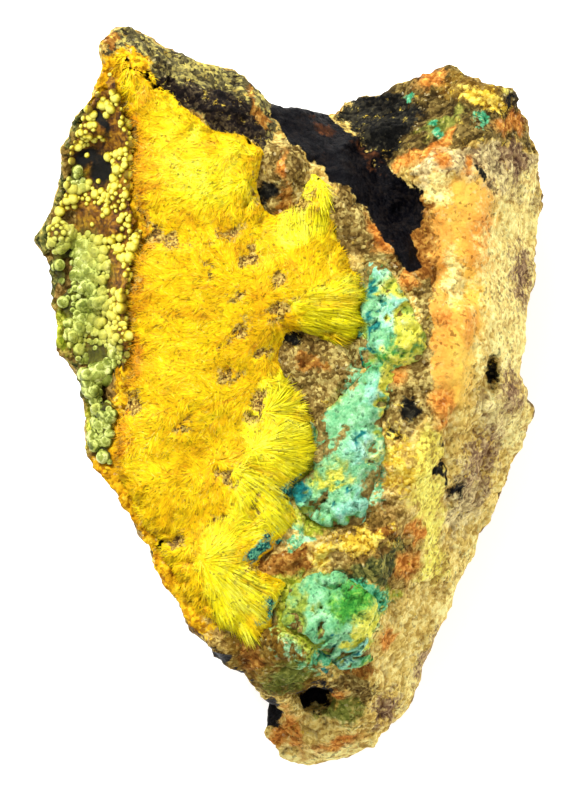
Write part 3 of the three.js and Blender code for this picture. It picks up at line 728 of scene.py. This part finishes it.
# blue-green crystals in the mat
tealSpots = [
    (-2.2, -10.6, 1.2, 0.4, 28), (-1.6, -9.5, 0.5, 0.6), (-0.7, -10.4, 0.8, 0.45),
    (-1.6, -14.6, 0.5, 0.85, 15), (-0.7, -13.8, 0.25, 0.25), (0.2, -6.4, 0.9, 0.9),
]

# borders where long loose needles stand out over their neighbours
fringes = [
    (4.6, 5.8, 0.9, 2.2), (-11.6, 23, 0.9, 1),
]


def makeKamotoiteMaterial():
    material, tree, shader = newMaterial("kamotoite")
    fields = useFields(tree, *mat["fields"])
    cloud, grain, cell = [fields[label] for label in ("Cloud", "Grain", "Cell")]
    fibre = attributeOf(tree, "fibre", "Vector")
    lines = {"Vector": fibre, "Scale": 1.0, "Detail": 5, "Roughness": 0.75}
    strand = addNode(tree, "ShaderNodeTexNoise", lines).outputs["Fac"]
    tone = shifted(tree, between(tree, strand, cloud), cell, 0.08)
    golden, lemon, amber = [useTones(tree, tone, mat[name], 0.12) for name in ("golden", "lemon", "amber")]
    colour = mixColours(tree, useEdge(tree, "tint", cloud, 1.6, 0.25), golden, lemon)
    colour = mixColours(tree, useEdge(tree, "amber", grain, 1.4, 0.25), colour, amber)

    # amber bundles, painted shade at the blades' roots, on the felt beneath them and in the crevices between
    # strands, then single dark blades and single bright blades with a painted highlight
    bundles = {"Vector": fibre, "Scale": 0.3, "Detail": 3}
    sheaf = addNode(tree, "ShaderNodeTexNoise", bundles).outputs["Fac"]
    colour = mixColours(tree, ramp(tree, sheaf, 0.54, 0.66, 0.55), colour, amber)
    along = attributeOf(tree, "along")
    colour = darken(tree, colour, ramp(tree, along, 0.3, 0.0, 0.3), (206, 164, 70))
    colour = darken(tree, colour, ramp(tree, strand, 0.43, 0.32, 0.5), (190, 132, 40))
    streakAndGlint = attributeOf(tree, "streakAndGlint")
    colour = darken(tree, colour, ramp(tree, streakAndGlint, 0.95, 0.98, 0.5), (150, 112, 40))
    paintedGlint = useTones(tree, cloud, mat["paintedGlint"])
    colour = mixColours(tree, ramp(tree, streakAndGlint, 0.16, 0.08, 0.4), colour, paintedGlint)
    colour = darken(tree, colour, ramp(tree, cell, 0.93, 0.95, 0.55), (110, 86, 30))

    # soil in the gaps, and the blue-green clusters
    gritty = shifted(tree, grain, cell, 0.3)
    soil = useTones(tree, gritty, mat["soil"])
    colour = mixColours(tree, useEdge(tree, "gap", grain, 2.2, 0.12), colour, soil)
    teal = useTones(tree, gritty, mat["teal"])
    colour = mixColours(tree, useEdge(tree, "teal", grain, 1.2, 0.12), colour, teal)
    feed(tree, shader, {"Base Color": colour, "Roughness": 0.5, "Specular IOR Level": 0.1})

    # shading normal between the blade's own and that of the felt below it
    felt = addNode(tree, "ShaderNodeVectorTransform", {
        "Vector": attributeOf(tree, "feltNormal", "Vector")}, vector_type="NORMAL")
    felt.convert_from = "OBJECT"
    felt.convert_to = "WORLD"
    own = addNode(tree, "ShaderNodeNewGeometry")
    blend = addNode(tree, "ShaderNodeMix", {"Factor": mat["softShading"]}, data_type="VECTOR")
    ends = [socket for socket in blend.inputs if socket.type == "VECTOR" and socket.name in ("A", "B")]
    tree.links.new(own.outputs["Normal"], ends[0])
    tree.links.new(felt.outputs["Vector"], ends[1])
    mixed = next(socket for socket in blend.outputs if socket.type == "VECTOR")
    evened = addNode(tree, "ShaderNodeVectorMath", {0: mixed}, operation="NORMALIZE")
    bump = addBump(tree, shader, strand, 0.4, 0.1)
    feed(tree, bump, {"Normal": evened.outputs["Vector"]})
    return material


def newGeometryTree(name, inputs):
    tree = bpy.data.node_groups.new(name, "GeometryNodeTree")
    tree.interface.new_socket("Geometry", in_out="INPUT", socket_type="NodeSocketGeometry")
    tree.interface.new_socket("Geometry", in_out="OUTPUT", socket_type="NodeSocketGeometry")
    for label, kind in inputs:
        tree.interface.new_socket(label, in_out="INPUT", socket_type=kind)
    return tree, addNode(tree, "NodeGroupInput"), addNode(tree, "NodeGroupOutput")


def runTree(piece, tree, values):
    # inputs are set by identifier before the first evaluation
    modifier = piece.modifiers.new(tree.name, "NODES")
    modifier.node_group = tree
    for item in tree.interface.items_tree:
        if item.in_out == "INPUT" and item.name in values:
            modifier[item.identifier] = values[item.name]
    applyModifiers(piece)


def namedField(tree, name, kind="FLOAT"):
    node = addNode(tree, "GeometryNodeInputNamedAttribute", {"Name": name}, data_type=kind)
    return node.outputs["Attribute"]


def heightField(tree):
    place = addNode(tree, "GeometryNodeInputPosition").outputs["Position"]
    return addNode(tree, "ShaderNodeSeparateXYZ", {"Vector": place}).outputs["Z"]


def randomField(tree, kind, low, high, seed):
    node = addNode(tree, "FunctionNodeRandomValue", {"Seed": seed}, data_type=kind)
    lowest, highest = [s for s in node.inputs if s.enabled and s.name in ("Min", "Max")]
    lowest.default_value = low
    highest.default_value = high
    return next(s for s in node.outputs if s.enabled)


def storeField(tree, geometry, name, value):
    sockets = {"Geometry": geometry, "Name": name}
    node = addNode(tree, "GeometryNodeStoreNamedAttribute", sockets, data_type="FLOAT", domain="POINT")
    tree.links.new(value, next(s for s in node.inputs if s.enabled and s.name == "Value"))
    return node.outputs["Geometry"]


def finishTree(tree, inlet, outlet, copies):
    # the copies and the surface that they grow on, as one mesh with its material
    join = addNode(tree, "GeometryNodeJoinGeometry", {"Geometry": copies})
    feed(tree, join, {"Geometry": inlet.outputs["Geometry"]})
    real = addNode(tree, "GeometryNodeRealizeInstances", {"Geometry": join.outputs["Geometry"]})
    paint = addNode(tree, "GeometryNodeSetMaterial", {
        "Geometry": real.outputs["Geometry"], "Material": inlet.outputs["Material"]})
    feed(tree, outlet, {"Geometry": paint.outputs["Geometry"]})


def makeBladeTree():
    tree, inlet, outlet = newGeometryTree(
        "radiatingBlades",
        [("Density", numberSocket), ("Thickness", numberSocket), ("Seed", "NodeSocketInt"),
         ("Material", "NodeSocketMaterial")])
    seed = inlet.outputs["Seed"]
    scatter = addNode(tree, "GeometryNodeDistributePointsOnFaces", {
        "Mesh": inlet.outputs["Geometry"], "Seed": seed,
        "Density": addMath(tree, "MULTIPLY", namedField(tree, "growth"), inlet.outputs["Density"])})
    # a random value per blade, for its dark streak and its painted highlight
    roots = storeField(tree, scatter.outputs["Points"], "streakAndGlint", randomField(tree, "FLOAT", 0.0, 1.0, seed))

    # one blade, a metre long: a three-sided spike, sunk a little at its root
    blade = addNode(tree, "GeometryNodeMeshCone", {
        "Vertices": 3, "Radius Top": 0.0, "Radius Bottom": 0.5, "Depth": 1.0}, fill_type="NONE")
    # its height along the blade, by which the root is painted in shade
    lath = storeField(tree, blade.outputs["Mesh"], "along", heightField(tree))
    sink = addNode(tree, "GeometryNodeTransform", {"Geometry": lath, "Translation": (0, 0, -0.12)})

    # the blade leans along the stored direction, with a small random stray
    anyWay = randomField(tree, "FLOAT_VECTOR", (-1, -1, -0.12), (1, 1, 0.3), seed)
    stray = addNode(tree, "ShaderNodeVectorMath", operation="SCALE")
    feed(tree, stray, {0: anyWay, "Scale": namedField(tree, "frizz")})
    aim = addNode(tree, "ShaderNodeVectorMath", {
        0: namedField(tree, "lean", "FLOAT_VECTOR"), 1: stray.outputs["Vector"]}, operation="ADD")
    turn = addNode(tree, "FunctionNodeAlignRotationToVector", {"Vector": aim.outputs["Vector"]}, axis="Z")
    spin = addNode(tree, "FunctionNodeAxisAngleToRotation", {
        "Axis": (0, 0, 1), "Angle": randomField(tree, "FLOAT", 0.0, math.pi, seed)})
    rolled = addNode(tree, "FunctionNodeRotateRotation", {
        "Rotation": turn.outputs["Rotation"], "Rotate By": spin.outputs["Rotation"]}, rotation_space="LOCAL")
    spread = randomField(tree, "FLOAT", 0.6, 1.35, seed)
    size = addNode(tree, "ShaderNodeCombineXYZ", {
        "X": addMath(tree, "MULTIPLY", spread, namedField(tree, "bladeWidth")),
        "Y": inlet.outputs["Thickness"],
        "Z": addMath(tree, "MULTIPLY", spread, namedField(tree, "bladeLength"))})
    grow = addNode(tree, "GeometryNodeInstanceOnPoints", {
        "Points": roots, "Instance": sink.outputs["Geometry"], "Rotation": rolled.outputs["Rotation"],
        "Scale": size.outputs["Vector"]})
    finishTree(tree, inlet, outlet, grow.outputs["Instances"])
    return tree


def turned(vectors, angles):
    # flat vectors, turned by angles in radians
    c, t = np.cos(angles), np.sin(angles)
    return np.column_stack([vectors[:, 0] * c - vectors[:, 1] * t, vectors[:, 0] * t + vectors[:, 1] * c])


def unit(vectors):
    return vectors / (np.linalg.norm(vectors, axis=1)[:, None] + 1e-6)


def hollowSideOf(points):
    # 1 along the border of the mat that overhangs the hollow, fading out inwards
    return smooth(patch(points, hollowBorder, mat["hollowFade"]), 0.1, 0.8)


def aimBlades(piece, gap, inward):
    # each point belongs to the spray that is nearest for its radius, with a wavy border between sprays
    points = pointsOf(piece)
    normals = normalsOf(piece)
    wander = np.stack([wave(points, 0.6, 3, 3.0), wave(points, 0.6, 3, 17.0)], axis=1)
    flat = points[:, :2] + wander
    middles = np.array([s["at"] for s in sprays])
    radii = np.array([s["radius"] for s in sprays])
    owner = (np.linalg.norm(flat[:, None] - middles[None], axis=2) / radii[None]).argmin(axis=1)
    away = np.clip(np.linalg.norm(flat - middles[owner], axis=1) / radii[owner], 0, 1)

    # the fibres of a fan meet behind its middle
    fans = np.radians([s["fan"] for s in sprays])
    pulls = np.array([s["pull"] for s in sprays])
    back = np.column_stack([np.cos(fans), np.sin(fans)]) * (mat["fanBack"] * radii * pulls)[:, None]
    spread = points[:, :2] + 0.35 * wander - (middles - back)[owner]
    outward = unit(spread)
    depth = np.linalg.norm(spread, axis=1) * mat["lineStretch"] + mat["lineShift"] * owner
    across = outward * (radii[owner] * mat["linesPerMm"])[:, None]
    storeVector(piece, "fibre", np.column_stack([across, depth]))

    strayed = points + 0.7 * wave(points, 0.9, 3, 31.0)[:, None]
    tint = np.max([z["weight"] * patch(strayed, z["corners"], 0.9) for z in lemonZones], axis=0)
    share = smooth(tint, 0.5, 0.95)
    golden, lemon = mat["goldenBlade"], mat["lemonBlade"]
    own = {key: golden[key] + (lemon[key] - golden[key]) * share for key in golden}

    # small tufts with middles of their own pull the blades aside
    draw = np.random.default_rng(mat["seed"])
    tufts = points[draw.integers(0, len(points), mat["tufts"]), :2]
    fromTufts = flat[:, None] - tufts[None]
    nearest = np.linalg.norm(fromTufts, axis=2).argmin(axis=1)
    tuftOut = unit(fromTufts[np.arange(len(flat)), nearest]) * own["tuftPull"][:, None]
    heading = turned(unit(outward + tuftOut), own["frizz"] * 1.5 * wave(points, 1.4, 2, 13.0))

    rise = np.radians(mat["leanAtHeart"] + (mat["leanAtRim"] - mat["leanAtHeart"]) * smooth(away, 0, 0.4))
    flatOut = np.column_stack([heading, np.zeros(len(points))])
    flatOut -= normals * (flatOut * normals).sum(axis=1)[:, None]
    storeVector(piece, "lean", flatOut * np.cos(rise)[:, None] + normals * np.sin(rise)[:, None])
    storeVector(piece, "feltNormal", normals)

    # loose needles along the hollow and the other fringes, short ones along the rest of the border
    border = 1 - smooth(inward, 0.5, 0.85)
    hollowSide = hollowSideOf(points)
    loose = border * np.maximum(hollowSide, smooth(spots(points, fringes), 0.3, 0.6))
    fringe = hollowSide * border
    storeMask(piece, "amber", 0.45 * hollowSide + 0.35 * wave(points, 0.7, 3, 27.0) + 0.5 * fringe)
    storeMask(piece, "tint", tint)
    storeMask(piece, "frizz", own["frizz"] + 0.9 * fringe)
    storeMask(piece, "bladeWidth", own["width"] * mm)
    storeMask(piece, "gap", gap)
    teal = spots(strayed, tealSpots)
    storeMask(piece, "teal", teal)
    shorter = (1 - 0.5 * smooth(gap, 0.15, 0.4)) * (1 - 0.75 * smooth(teal, 0.05, 0.4))
    storeMask(piece, "bladeLength", own["length"] * (1 - 0.5 * border + 1.4 * loose) * shorter * mm)
    bare = np.maximum(smooth(gap, 0.45, 0.7), smooth(teal, 0.45, 0.6))
    storeMask(piece, "growth", (normals[:, 2] > 0.25 - 0.35 * hollowSide) * (1 - bare))
    # the felt counts as the blades' root, and so is painted in their shade
    storeMask(piece, "along", np.zeros(len(points)))
    storeMask(piece, "streakAndGlint", np.full(len(points), 0.3))


def makeMat():
    piece = copyOfNode("kamotoite_mat", "kamotoiteMat", mat["voxel"])
    soften(piece, 8)
    soften(piece, mat["levelling"], heightOnly=True)
    points = pointsOf(piece)
    normals = normalsOf(piece)
    strayed = points + 0.7 * wave(points, 1.3, 4, 9.0)[:, None]
    gap = spots(strayed, matGaps)
    inward = patch(points + 0.9 * wave(points, 1.1, 4, 19.0)[:, None], matOutline, mat["taper"])
    frayed = hollowSideOf(points) * (1 - smooth(inward, 0.5, 0.9))
    gap = np.maximum(gap, frayed * (0.42 + 0.4 * wave(points, 1.8, 3, 35.0)))
    points += normals * (0.12 * wave(points, 1.3, 3, 2.0))[:, None]
    thinning = (1 - smooth(inward, 0.45, 0.9)) * (1 - 0.9 * hollowSideOf(points))
    points[:, 2] -= mat["sink"] * thinning + mat["pitDepth"] * smooth(gap, 0.4, 0.7)
    movePoints(piece, points)
    aimBlades(piece, gap, inward)
    runTree(piece, makeBladeTree(), {
        "Density": mat["bladesPerSquareMm"] / mm ** 2,
        "Thickness": mat["bladeThickness"] * mm,
        "Seed": mat["seed"],
        "Material": makeKamotoiteMaterial(),
    })
    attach(piece, "root")
    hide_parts("kamotoite_mat")
    print("kamotoite mat", len(piece.data.polygons), "faces")


# globules in the left hollow

globules = {
    "voxel": 0.3,
    "apart": 0.32,
    "radius": (0.16, 0.46),
    "greenGain": 1.2,  # the green ones are larger
    "seed": 3,
    "fields": (700, 1800, 4000),  # scales of the clouds, grains and crystals
    "golden": [(120, 96, 2), (198, 180, 30), (238, 230, 104)],
    "pale": [(164, 174, 70), (200, 210, 108), (236, 240, 164)],
    "olive": [(70, 82, 12), (118, 128, 36), (176, 184, 84)],
    "amber": [(58, 30, 0), (116, 70, 4), (176, 128, 24)],
    "ground": [(34, 32, 2), (74, 72, 8), (120, 122, 26)],
    "hole": [(2, 2, 0), (8, 6, 2), (30, 22, 6)],
}

# how green the globules are: 0 is golden, 1 is mint
greenPlaces = [
    (-15.2, 7.6, 2.4, 4.2), (-13.6, 1.4, 2.2, 3.2), (-13, -2.6, 2.2, 3), (-15, 15.4, 0.8, 1),
]

# painted shade of holes: black spots on the floor of the hollow
shadedHoles = [
    (-13.3, 16, 0.75, 1.3), (-14.4, 16.8, 0.75, 0.65), (-13.2, 19.2, 0.4, 1.3, 20),
]

# where the amber floor of the hollow is bare of globules
bareFloor = [
    (-13.9, 12.3, 1.7, 0.9, -20), (-13.4, 16.2, 0.9, 1.6), (-12.3, 18.6, 0.6, 1.4), (-12.6, 0, 0.8, 1),
    (-13.6, 3, 0.9, 0.5), (-12.2, 8.6, 0.6, 1.6),
]


def makeGlobuleMaterial():
    material, tree, shader = newMaterial("globules")
    fields = useFields(tree, *globules["fields"])
    cloud, grain, cell = [fields[label] for label in ("Cloud", "Grain", "Cell")]
    # painted light and shade: golden globules go from dark at their foot to light on top; mint ones are pale
    # around their sides and olive on top
    height = shifted(tree, shifted(tree, attributeOf(tree, "crown"), grain, 0.9), cell, 0.3)
    golden = useTones(tree, height, globules["golden"], 0.4)
    pale = useTones(tree, cloud, globules["pale"])
    olive = useTones(tree, cloud, globules["olive"])
    mint = mixColours(tree, addRange(tree, height, 0.15, 0.45, True), olive, pale)
    mint = mixColours(tree, addRange(tree, height, 0.6, 0.85, True), mint, olive)
    colour = mixColours(tree, useEdge(tree, "green", grain, 0.6, 0.25), golden, mint)

    # the floor between the globules, with the painted shade of its holes
    amber = useTones(tree, shifted(tree, cloud, cell, 0.2), globules["amber"])
    ground = useTones(tree, cloud, globules["ground"])
    ground = mixColours(tree, useEdge(tree, "green", grain, 0.8, 0.25), amber, ground)
    # black painted shade where the holes lie
    deep = useEdge(tree, "hole", grain, 0.6, 0.15)
    ground = mixColours(tree, deep, ground, useTones(tree, cloud, globules["hole"]))
    colour = mixColours(tree, useEdge(tree, "floor", grain, 0.3, 0.15), colour, ground)
    rough = mixNumbers(tree, deep, 0.35, 0.7)
    feed(tree, shader, {"Base Color": colour, "Roughness": rough, "Specular IOR Level": 0.25})
    addBump(tree, shader, grain, 0.8, 0.22)
    return material


def makeGlobuleTree():
    tree, inlet, outlet = newGeometryTree(
        "hollowGlobules",
        [("Apart", numberSocket), ("Least", numberSocket), ("Most", numberSocket), ("Seed", "NodeSocketInt"),
         ("Material", "NodeSocketMaterial")])
    seed = inlet.outputs["Seed"]
    scatter = addNode(tree, "GeometryNodeDistributePointsOnFaces", distribute_method="POISSON")
    feed(tree, scatter, {
        "Mesh": inlet.outputs["Geometry"], "Distance Min": inlet.outputs["Apart"], "Density Max": 2.0e7,
        "Density Factor": namedField(tree, "growth"), "Seed": seed})

    # more small ones than large ones
    chance = addMath(tree, "POWER", randomField(tree, "FLOAT", 0.0, 1.0, seed), 1.8)
    size = addNode(tree, "ShaderNodeMapRange", {
        "Value": chance, "To Min": inlet.outputs["Least"], "To Max": inlet.outputs["Most"]})
    gained = addMath(tree, "MULTIPLY", size.outputs["Result"], namedField(tree, "gain"))
    bead = addNode(tree, "GeometryNodeMeshIcoSphere", {"Radius": 1.0, "Subdivisions": 2})
    # the height on each bead, by which the golden ones are painted lighter on top
    crowned = storeField(tree, bead.outputs["Mesh"], "crown", heightField(tree))
    polish = addNode(tree, "GeometryNodeSetShadeSmooth", {"Geometry": crowned})
    zero = addNode(tree, "ShaderNodeValue").outputs[0]
    beads = addNode(tree, "GeometryNodeInstanceOnPoints", {
        "Points": storeField(tree, scatter.outputs["Points"], "floor", zero),
        "Instance": polish.outputs["Geometry"], "Scale": gained, "Rotation": scatter.outputs["Rotation"]})
    finishTree(tree, inlet, outlet, beads.outputs["Instances"])
    return tree


def makeGlobules():
    piece = copyOfNode("globule_lining", "globuleLining", globules["voxel"])
    points = pointsOf(piece)
    normals = normalsOf(piece)
    storeMask(piece, "floor", np.ones(len(points)))
    storeMask(piece, "crown", np.zeros(len(points)))
    strayed = points + 0.4 * wave(points, 0.9, 2, 21.0)[:, None]
    # where the black shade of the holes is painted
    hole = spots(strayed, shadedHoles)
    storeMask(piece, "hole", hole)
    bare = np.maximum(hole, spots(strayed, bareFloor))
    storeMask(piece, "growth", (normals[:, 2] > -0.1) * (1 - 0.94 * smooth(bare, 0.42, 0.55)))
    green = spots(strayed, greenPlaces)
    storeMask(piece, "green", green)
    storeMask(piece, "gain", 1 + (globules["greenGain"] - 1) * smooth(green, 0.4, 0.7))
    least, most = globules["radius"]
    runTree(piece, makeGlobuleTree(), {
        "Apart": globules["apart"] * mm,
        "Least": least * mm,
        "Most": most * mm,
        "Seed": globules["seed"],
        "Material": makeGlobuleMaterial(),
    })
    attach(piece, "root")
    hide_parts("globule_lining")
    print("globules", len(piece.data.polygons), "faces")


# blue-green crusts

crusts = {
    "voxel": 0.22,
    "swell": 0.3,  # closes the gap that the solids keep to the rock
    "taper": 1.2,
    "sink": 0.9,
    "ragged": 1.3,  # how far the rim and the spots of colour stray
    "lump": {"scale": 0.9, "height": 0.14},
    "bud": {"scale": 2.6, "height": 0.16},
    "grain": {"scale": 4, "height": 0.1},
    "fields": (600, 1700, 5200),  # scales of the clouds, grains and crystals
    "tones": [(94, 172, 116), (140, 208, 146), (194, 242, 194)],
    "toneSpread": 0.12,
    "specks": 0.7,
    "bump": {"strength": 0.9, "depth": 0.2},
}

# outlines of the two crusts, along which they thin out into the rock
crustOutlines = {
    "upper_blue_green_crust": [
        (5.3, 9.2), (5.2, 6.4), (4.9, 4.3), (5.4, 1.6), (4.2, 0.4), (2.2, -1.4), (1.7, -5.3), (0.3, -6.4),
        (0.8, -7.7), (2.4, -8.8), (4.8, -8.6), (5.4, -6.4), (6.4, -4.4), (6, -1.6), (6.9, 1), (7.2, 2.3),
        (8.9, 2.8), (9.2, 4.2), (8.1, 6.3), (6.9, 8.4), (6, 9.4)],
    "lower_blue_green_crust": [
        (0.2, -13.4), (1.4, -12.4), (3.4, -12.4), (5.6, -14), (6, -15.4), (5, -17.2), (5.6, -18.4),
        (3.6, -18.8), (2.6, -18), (1.4, -16.4), (-0.4, -15.6)],
}

# spots of colour on the crusts, ellipses like those on the rock
crustSpots = {
    "olive": [(0.3, -15.4, 0.9, 1.6), (1.8, -17.6, 1, 0.5, -30), (2.4, -5.4, 1.6, 0.9)],
    "green": [
        (7.5, 3.3, 1, 0.8), (4.3, -14.2, 1.6, 1.5, 30), (3.7, -8.7, 1.3, 0.4), (5.3, -18, 0.8, 0.5),
        (5.8, 2.6, 0.6, 0.9)],
    "lemon": [
        (8.1, 5, 1.1, 2.6, 10), (7.2, 7.2, 0.8, 1.3, 30), (6.6, 0.6, 0.7, 2.2), (3, -5.7, 1.2, 0.5),
        (5.1, -16.1, 0.9, 1.5, -35), (5.6, -3.6, 0.4, 1)],
    "cyan": [
        (6.8, 5.6, 0.6, 1.4), (5.8, 8.8, 0.9, 0.7), (5, -3.2, 0.9, 0.9), (4.6, -7.4, 1.1, 0.8, -20),
        (4.2, -17.8, 0.8, 0.5), (5.4, 0.2, 0.5, 1.2)],
    "teal": [
        (5.5, 7.4, 0.5, 0.5), (5.5, 5.8, 0.4, 0.3), (5.5, 4.5, 0.5, 0.3), (5.6, 3.2, 0.5, 0.5),
        (4.9, -2.5, 0.35, 0.35), (0.4, -6.4, 0.9, 0.9), (3.6, -6.6, 0.3, 0.6, -30),
        (1.2, -16.3, 0.5, 0.3, 10), (2.7, -17.7, 0.35, 0.6), (4.5, -17.9, 0.4, 0.2),
        (3.2, -16.1, 0.2, 0.25)],
    "soil": [
        (4.6, 2.6, 0.6, 0.8), (2.6, -3.4, 0.9, 0.5, 40), (5.8, -6, 0.8, 0.9), (1.8, -7.4, 0.7, 0.3, 50)],
}

# their dark, middle and light colour, and how ragged and how soft their borders are
crustTones = {
    "olive": {"tones": [(110, 130, 40), (160, 178, 64), (212, 220, 104)], "edge": (1.2, 0.35)},
    "green": {"tones": [(36, 122, 40), (80, 164, 56), (150, 206, 84)], "edge": (1, 0.3)},
    "lemon": {"tones": [(200, 196, 52), (240, 234, 84), (255, 250, 132)], "edge": (0.9, 0.2)},
    "cyan": {"tones": [(108, 190, 158), (162, 226, 194), (206, 250, 228)], "edge": (1, 0.35)},
    "teal": {"tones": [(4, 78, 84), (20, 120, 116), (70, 170, 150)], "edge": (0.9, 0.2)},
    "soil": {"tones": [(84, 64, 24), (140, 116, 56), (206, 188, 110)], "edge": (1.6, 0.1)},
}


def makeCrustMaterial():
    material, tree, shader = newMaterial("blueGreenCrust")
    fields = useFields(tree, *crusts["fields"])
    grain, cell = fields["Grain"], fields["Cell"]
    value = shifted(tree, between(tree, fields["Cloud"], grain), cell, 0.1)
    colour = useTones(tree, value, crusts["tones"], crusts["toneSpread"])
    for name, tone in crustTones.items():
        coat = useTones(tree, value, tone["tones"], crusts["toneSpread"])
        colour = mixColours(tree, useEdge(tree, name, grain, *tone["edge"]), colour, coat)
    # painted shade in the pits between the lumps and buds
    colour = darken(tree, colour, useEdge(tree, "cavityShade", grain, 0.6, 0.25), (110, 140, 100))
    colour = darken(tree, colour, ramp(tree, cell, 0.9, 0.93, crusts["specks"]), (60, 120, 100))
    feed(tree, shader, {"Base Color": colour, "Roughness": 0.75, "Specular IOR Level": 0.15})
    addBump(tree, shader, shifted(tree, grain, fields["Facet"], -0.4), **crusts["bump"])
    return material


def makeCrust(node, name, material):
    piece = copyOfNode(node, name, crusts["voxel"])
    points = pointsOf(piece)
    normals = normalsOf(piece)
    lump = crusts["lump"]["height"] * (0.5 - cells(points, crusts["lump"]["scale"], 4.0))
    bud = crusts["bud"]["height"] * (0.5 - cells(points, crusts["bud"]["scale"], 9.0))
    grain = bud + crusts["grain"]["height"] * wave(points, crusts["grain"]["scale"], 3, 8.0)
    ragged = points + crusts["ragged"] * wave(points, 1.2, 4, 15.0)[:, None]
    inward = patch(ragged, crustOutlines[node], crusts["taper"])
    points += normals * (crusts["swell"] + lump + grain)[:, None]
    points[:, 2] -= crusts["sink"] * (1 - smooth(inward, 0.5, 0.95))
    movePoints(piece, points)
    # where the painted shade of the pits between the lumps and buds falls
    storeMask(piece, "cavityShade", 0.3 - 1.5 * (lump + 1.5 * grain))
    masks = {tone: spots(ragged, crustSpots[tone]) for tone in crustTones}
    rim = 1 - smooth(inward, 0.35, 0.75)
    bare = smooth(wave(points, 0.8, 3, 41.0), -0.1, 0.1)
    masks["olive"] = np.maximum(masks["olive"], rim * (1 - bare))
    masks["soil"] = np.maximum(masks["soil"], rim * bare)
    for tone, mask in masks.items():
        storeMask(piece, tone, mask)
    piece.data.materials.append(material)
    piece.data.polygons.foreach_set("use_smooth", [True] * len(piece.data.polygons))
    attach(piece, "root")
    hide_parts(node)
    print(name, len(piece.data.polygons), "faces")


# floor, light and camera

studio = {
    "picture": (580, 800),
    "mmPerPixel": 0.0702,
    "middlePixel": (291, 397.5),  # of the specimen's outline in the picture
    "focusHeight": 16,
    "cameraHeight": 620,
    "farEnd": 10,  # of what the camera sees, in metres
    "worldLight": 0.7,
    "keyLamp": {"at": (-0.12, 0.2, 0.26), "size": 0.12, "power": 1.6},  # in metres and watts
    "fillLamp": {"at": (0.28, 0.02, 0.2), "size": 0.2, "power": 0.35},
    "floorHalf": 3.0,  # half the floor's width, in metres
    "floorGlow": 0.4,
}


def makeFloor():
    half = studio["floorHalf"]
    corners = [(-half, -half, 0), (half, -half, 0), (half, half, 0), (-half, half, 0)]
    mesh = bpy.data.meshes.new("floor")
    mesh.from_pydata(corners, [], [(0, 1, 2, 3)])
    floor = bpy.data.objects.new("floor", mesh)
    scene.collection.objects.link(floor)
    material, tree, shader = newMaterial("paleFloor")
    feed(tree, shader, {
        "Base Color": (0.93, 0.93, 0.93, 1), "Roughness": 0.8, "Emission Color": (1, 1, 1, 1),
        "Emission Strength": studio["floorGlow"]})
    mesh.materials.append(material)


def addLamp(name, at, size, power):
    light = bpy.data.lights.new(name, "AREA")
    light.shape = "DISK"
    light.size = size
    light.energy = power
    lamp = bpy.data.objects.new(name, light)
    lamp.location = at
    lamp.rotation_euler = (-Vector(at)).to_track_quat("-Z", "Y").to_euler()
    scene.collection.objects.link(lamp)


def makeStudio():
    makeFloor()
    world = bpy.data.worlds.new("studio")
    world.use_nodes = True
    sky = world.node_tree.nodes["Background"]
    feed(world.node_tree, sky, {"Color": (1, 1, 1, 1), "Strength": studio["worldLight"]})
    scene.world = world
    addLamp("keyLamp", **studio["keyLamp"])
    addLamp("fillLamp", **studio["fillLamp"])
    scene.view_settings.view_transform = "Standard"

    width, height = studio["picture"]
    scale = studio["mmPerPixel"]
    view = bpy.data.cameras.new("camera")
    view.sensor_fit = "VERTICAL"
    view.sensor_height = 24
    tall = height * scale
    view.lens = view.sensor_height * (studio["cameraHeight"] - studio["focusHeight"]) / tall
    view.clip_end = studio["farEnd"]
    camera = bpy.data.objects.new("camera", view)
    middle = studio["middlePixel"]
    camera.location = ((width / 2 - middle[0]) * scale * mm, (middle[1] - height / 2) * scale * mm,
                       studio["cameraHeight"] * mm)
    scene.collection.objects.link(camera)
    scene.camera = camera


makeRock()
makeMat()
makeGlobules()
crustMaterial = makeCrustMaterial()
makeCrust("upper_blue_green_crust", "upperCrust", crustMaterial)
makeCrust("lower_blue_green_crust", "lowerCrust", crustMaterial)
makeStudio()
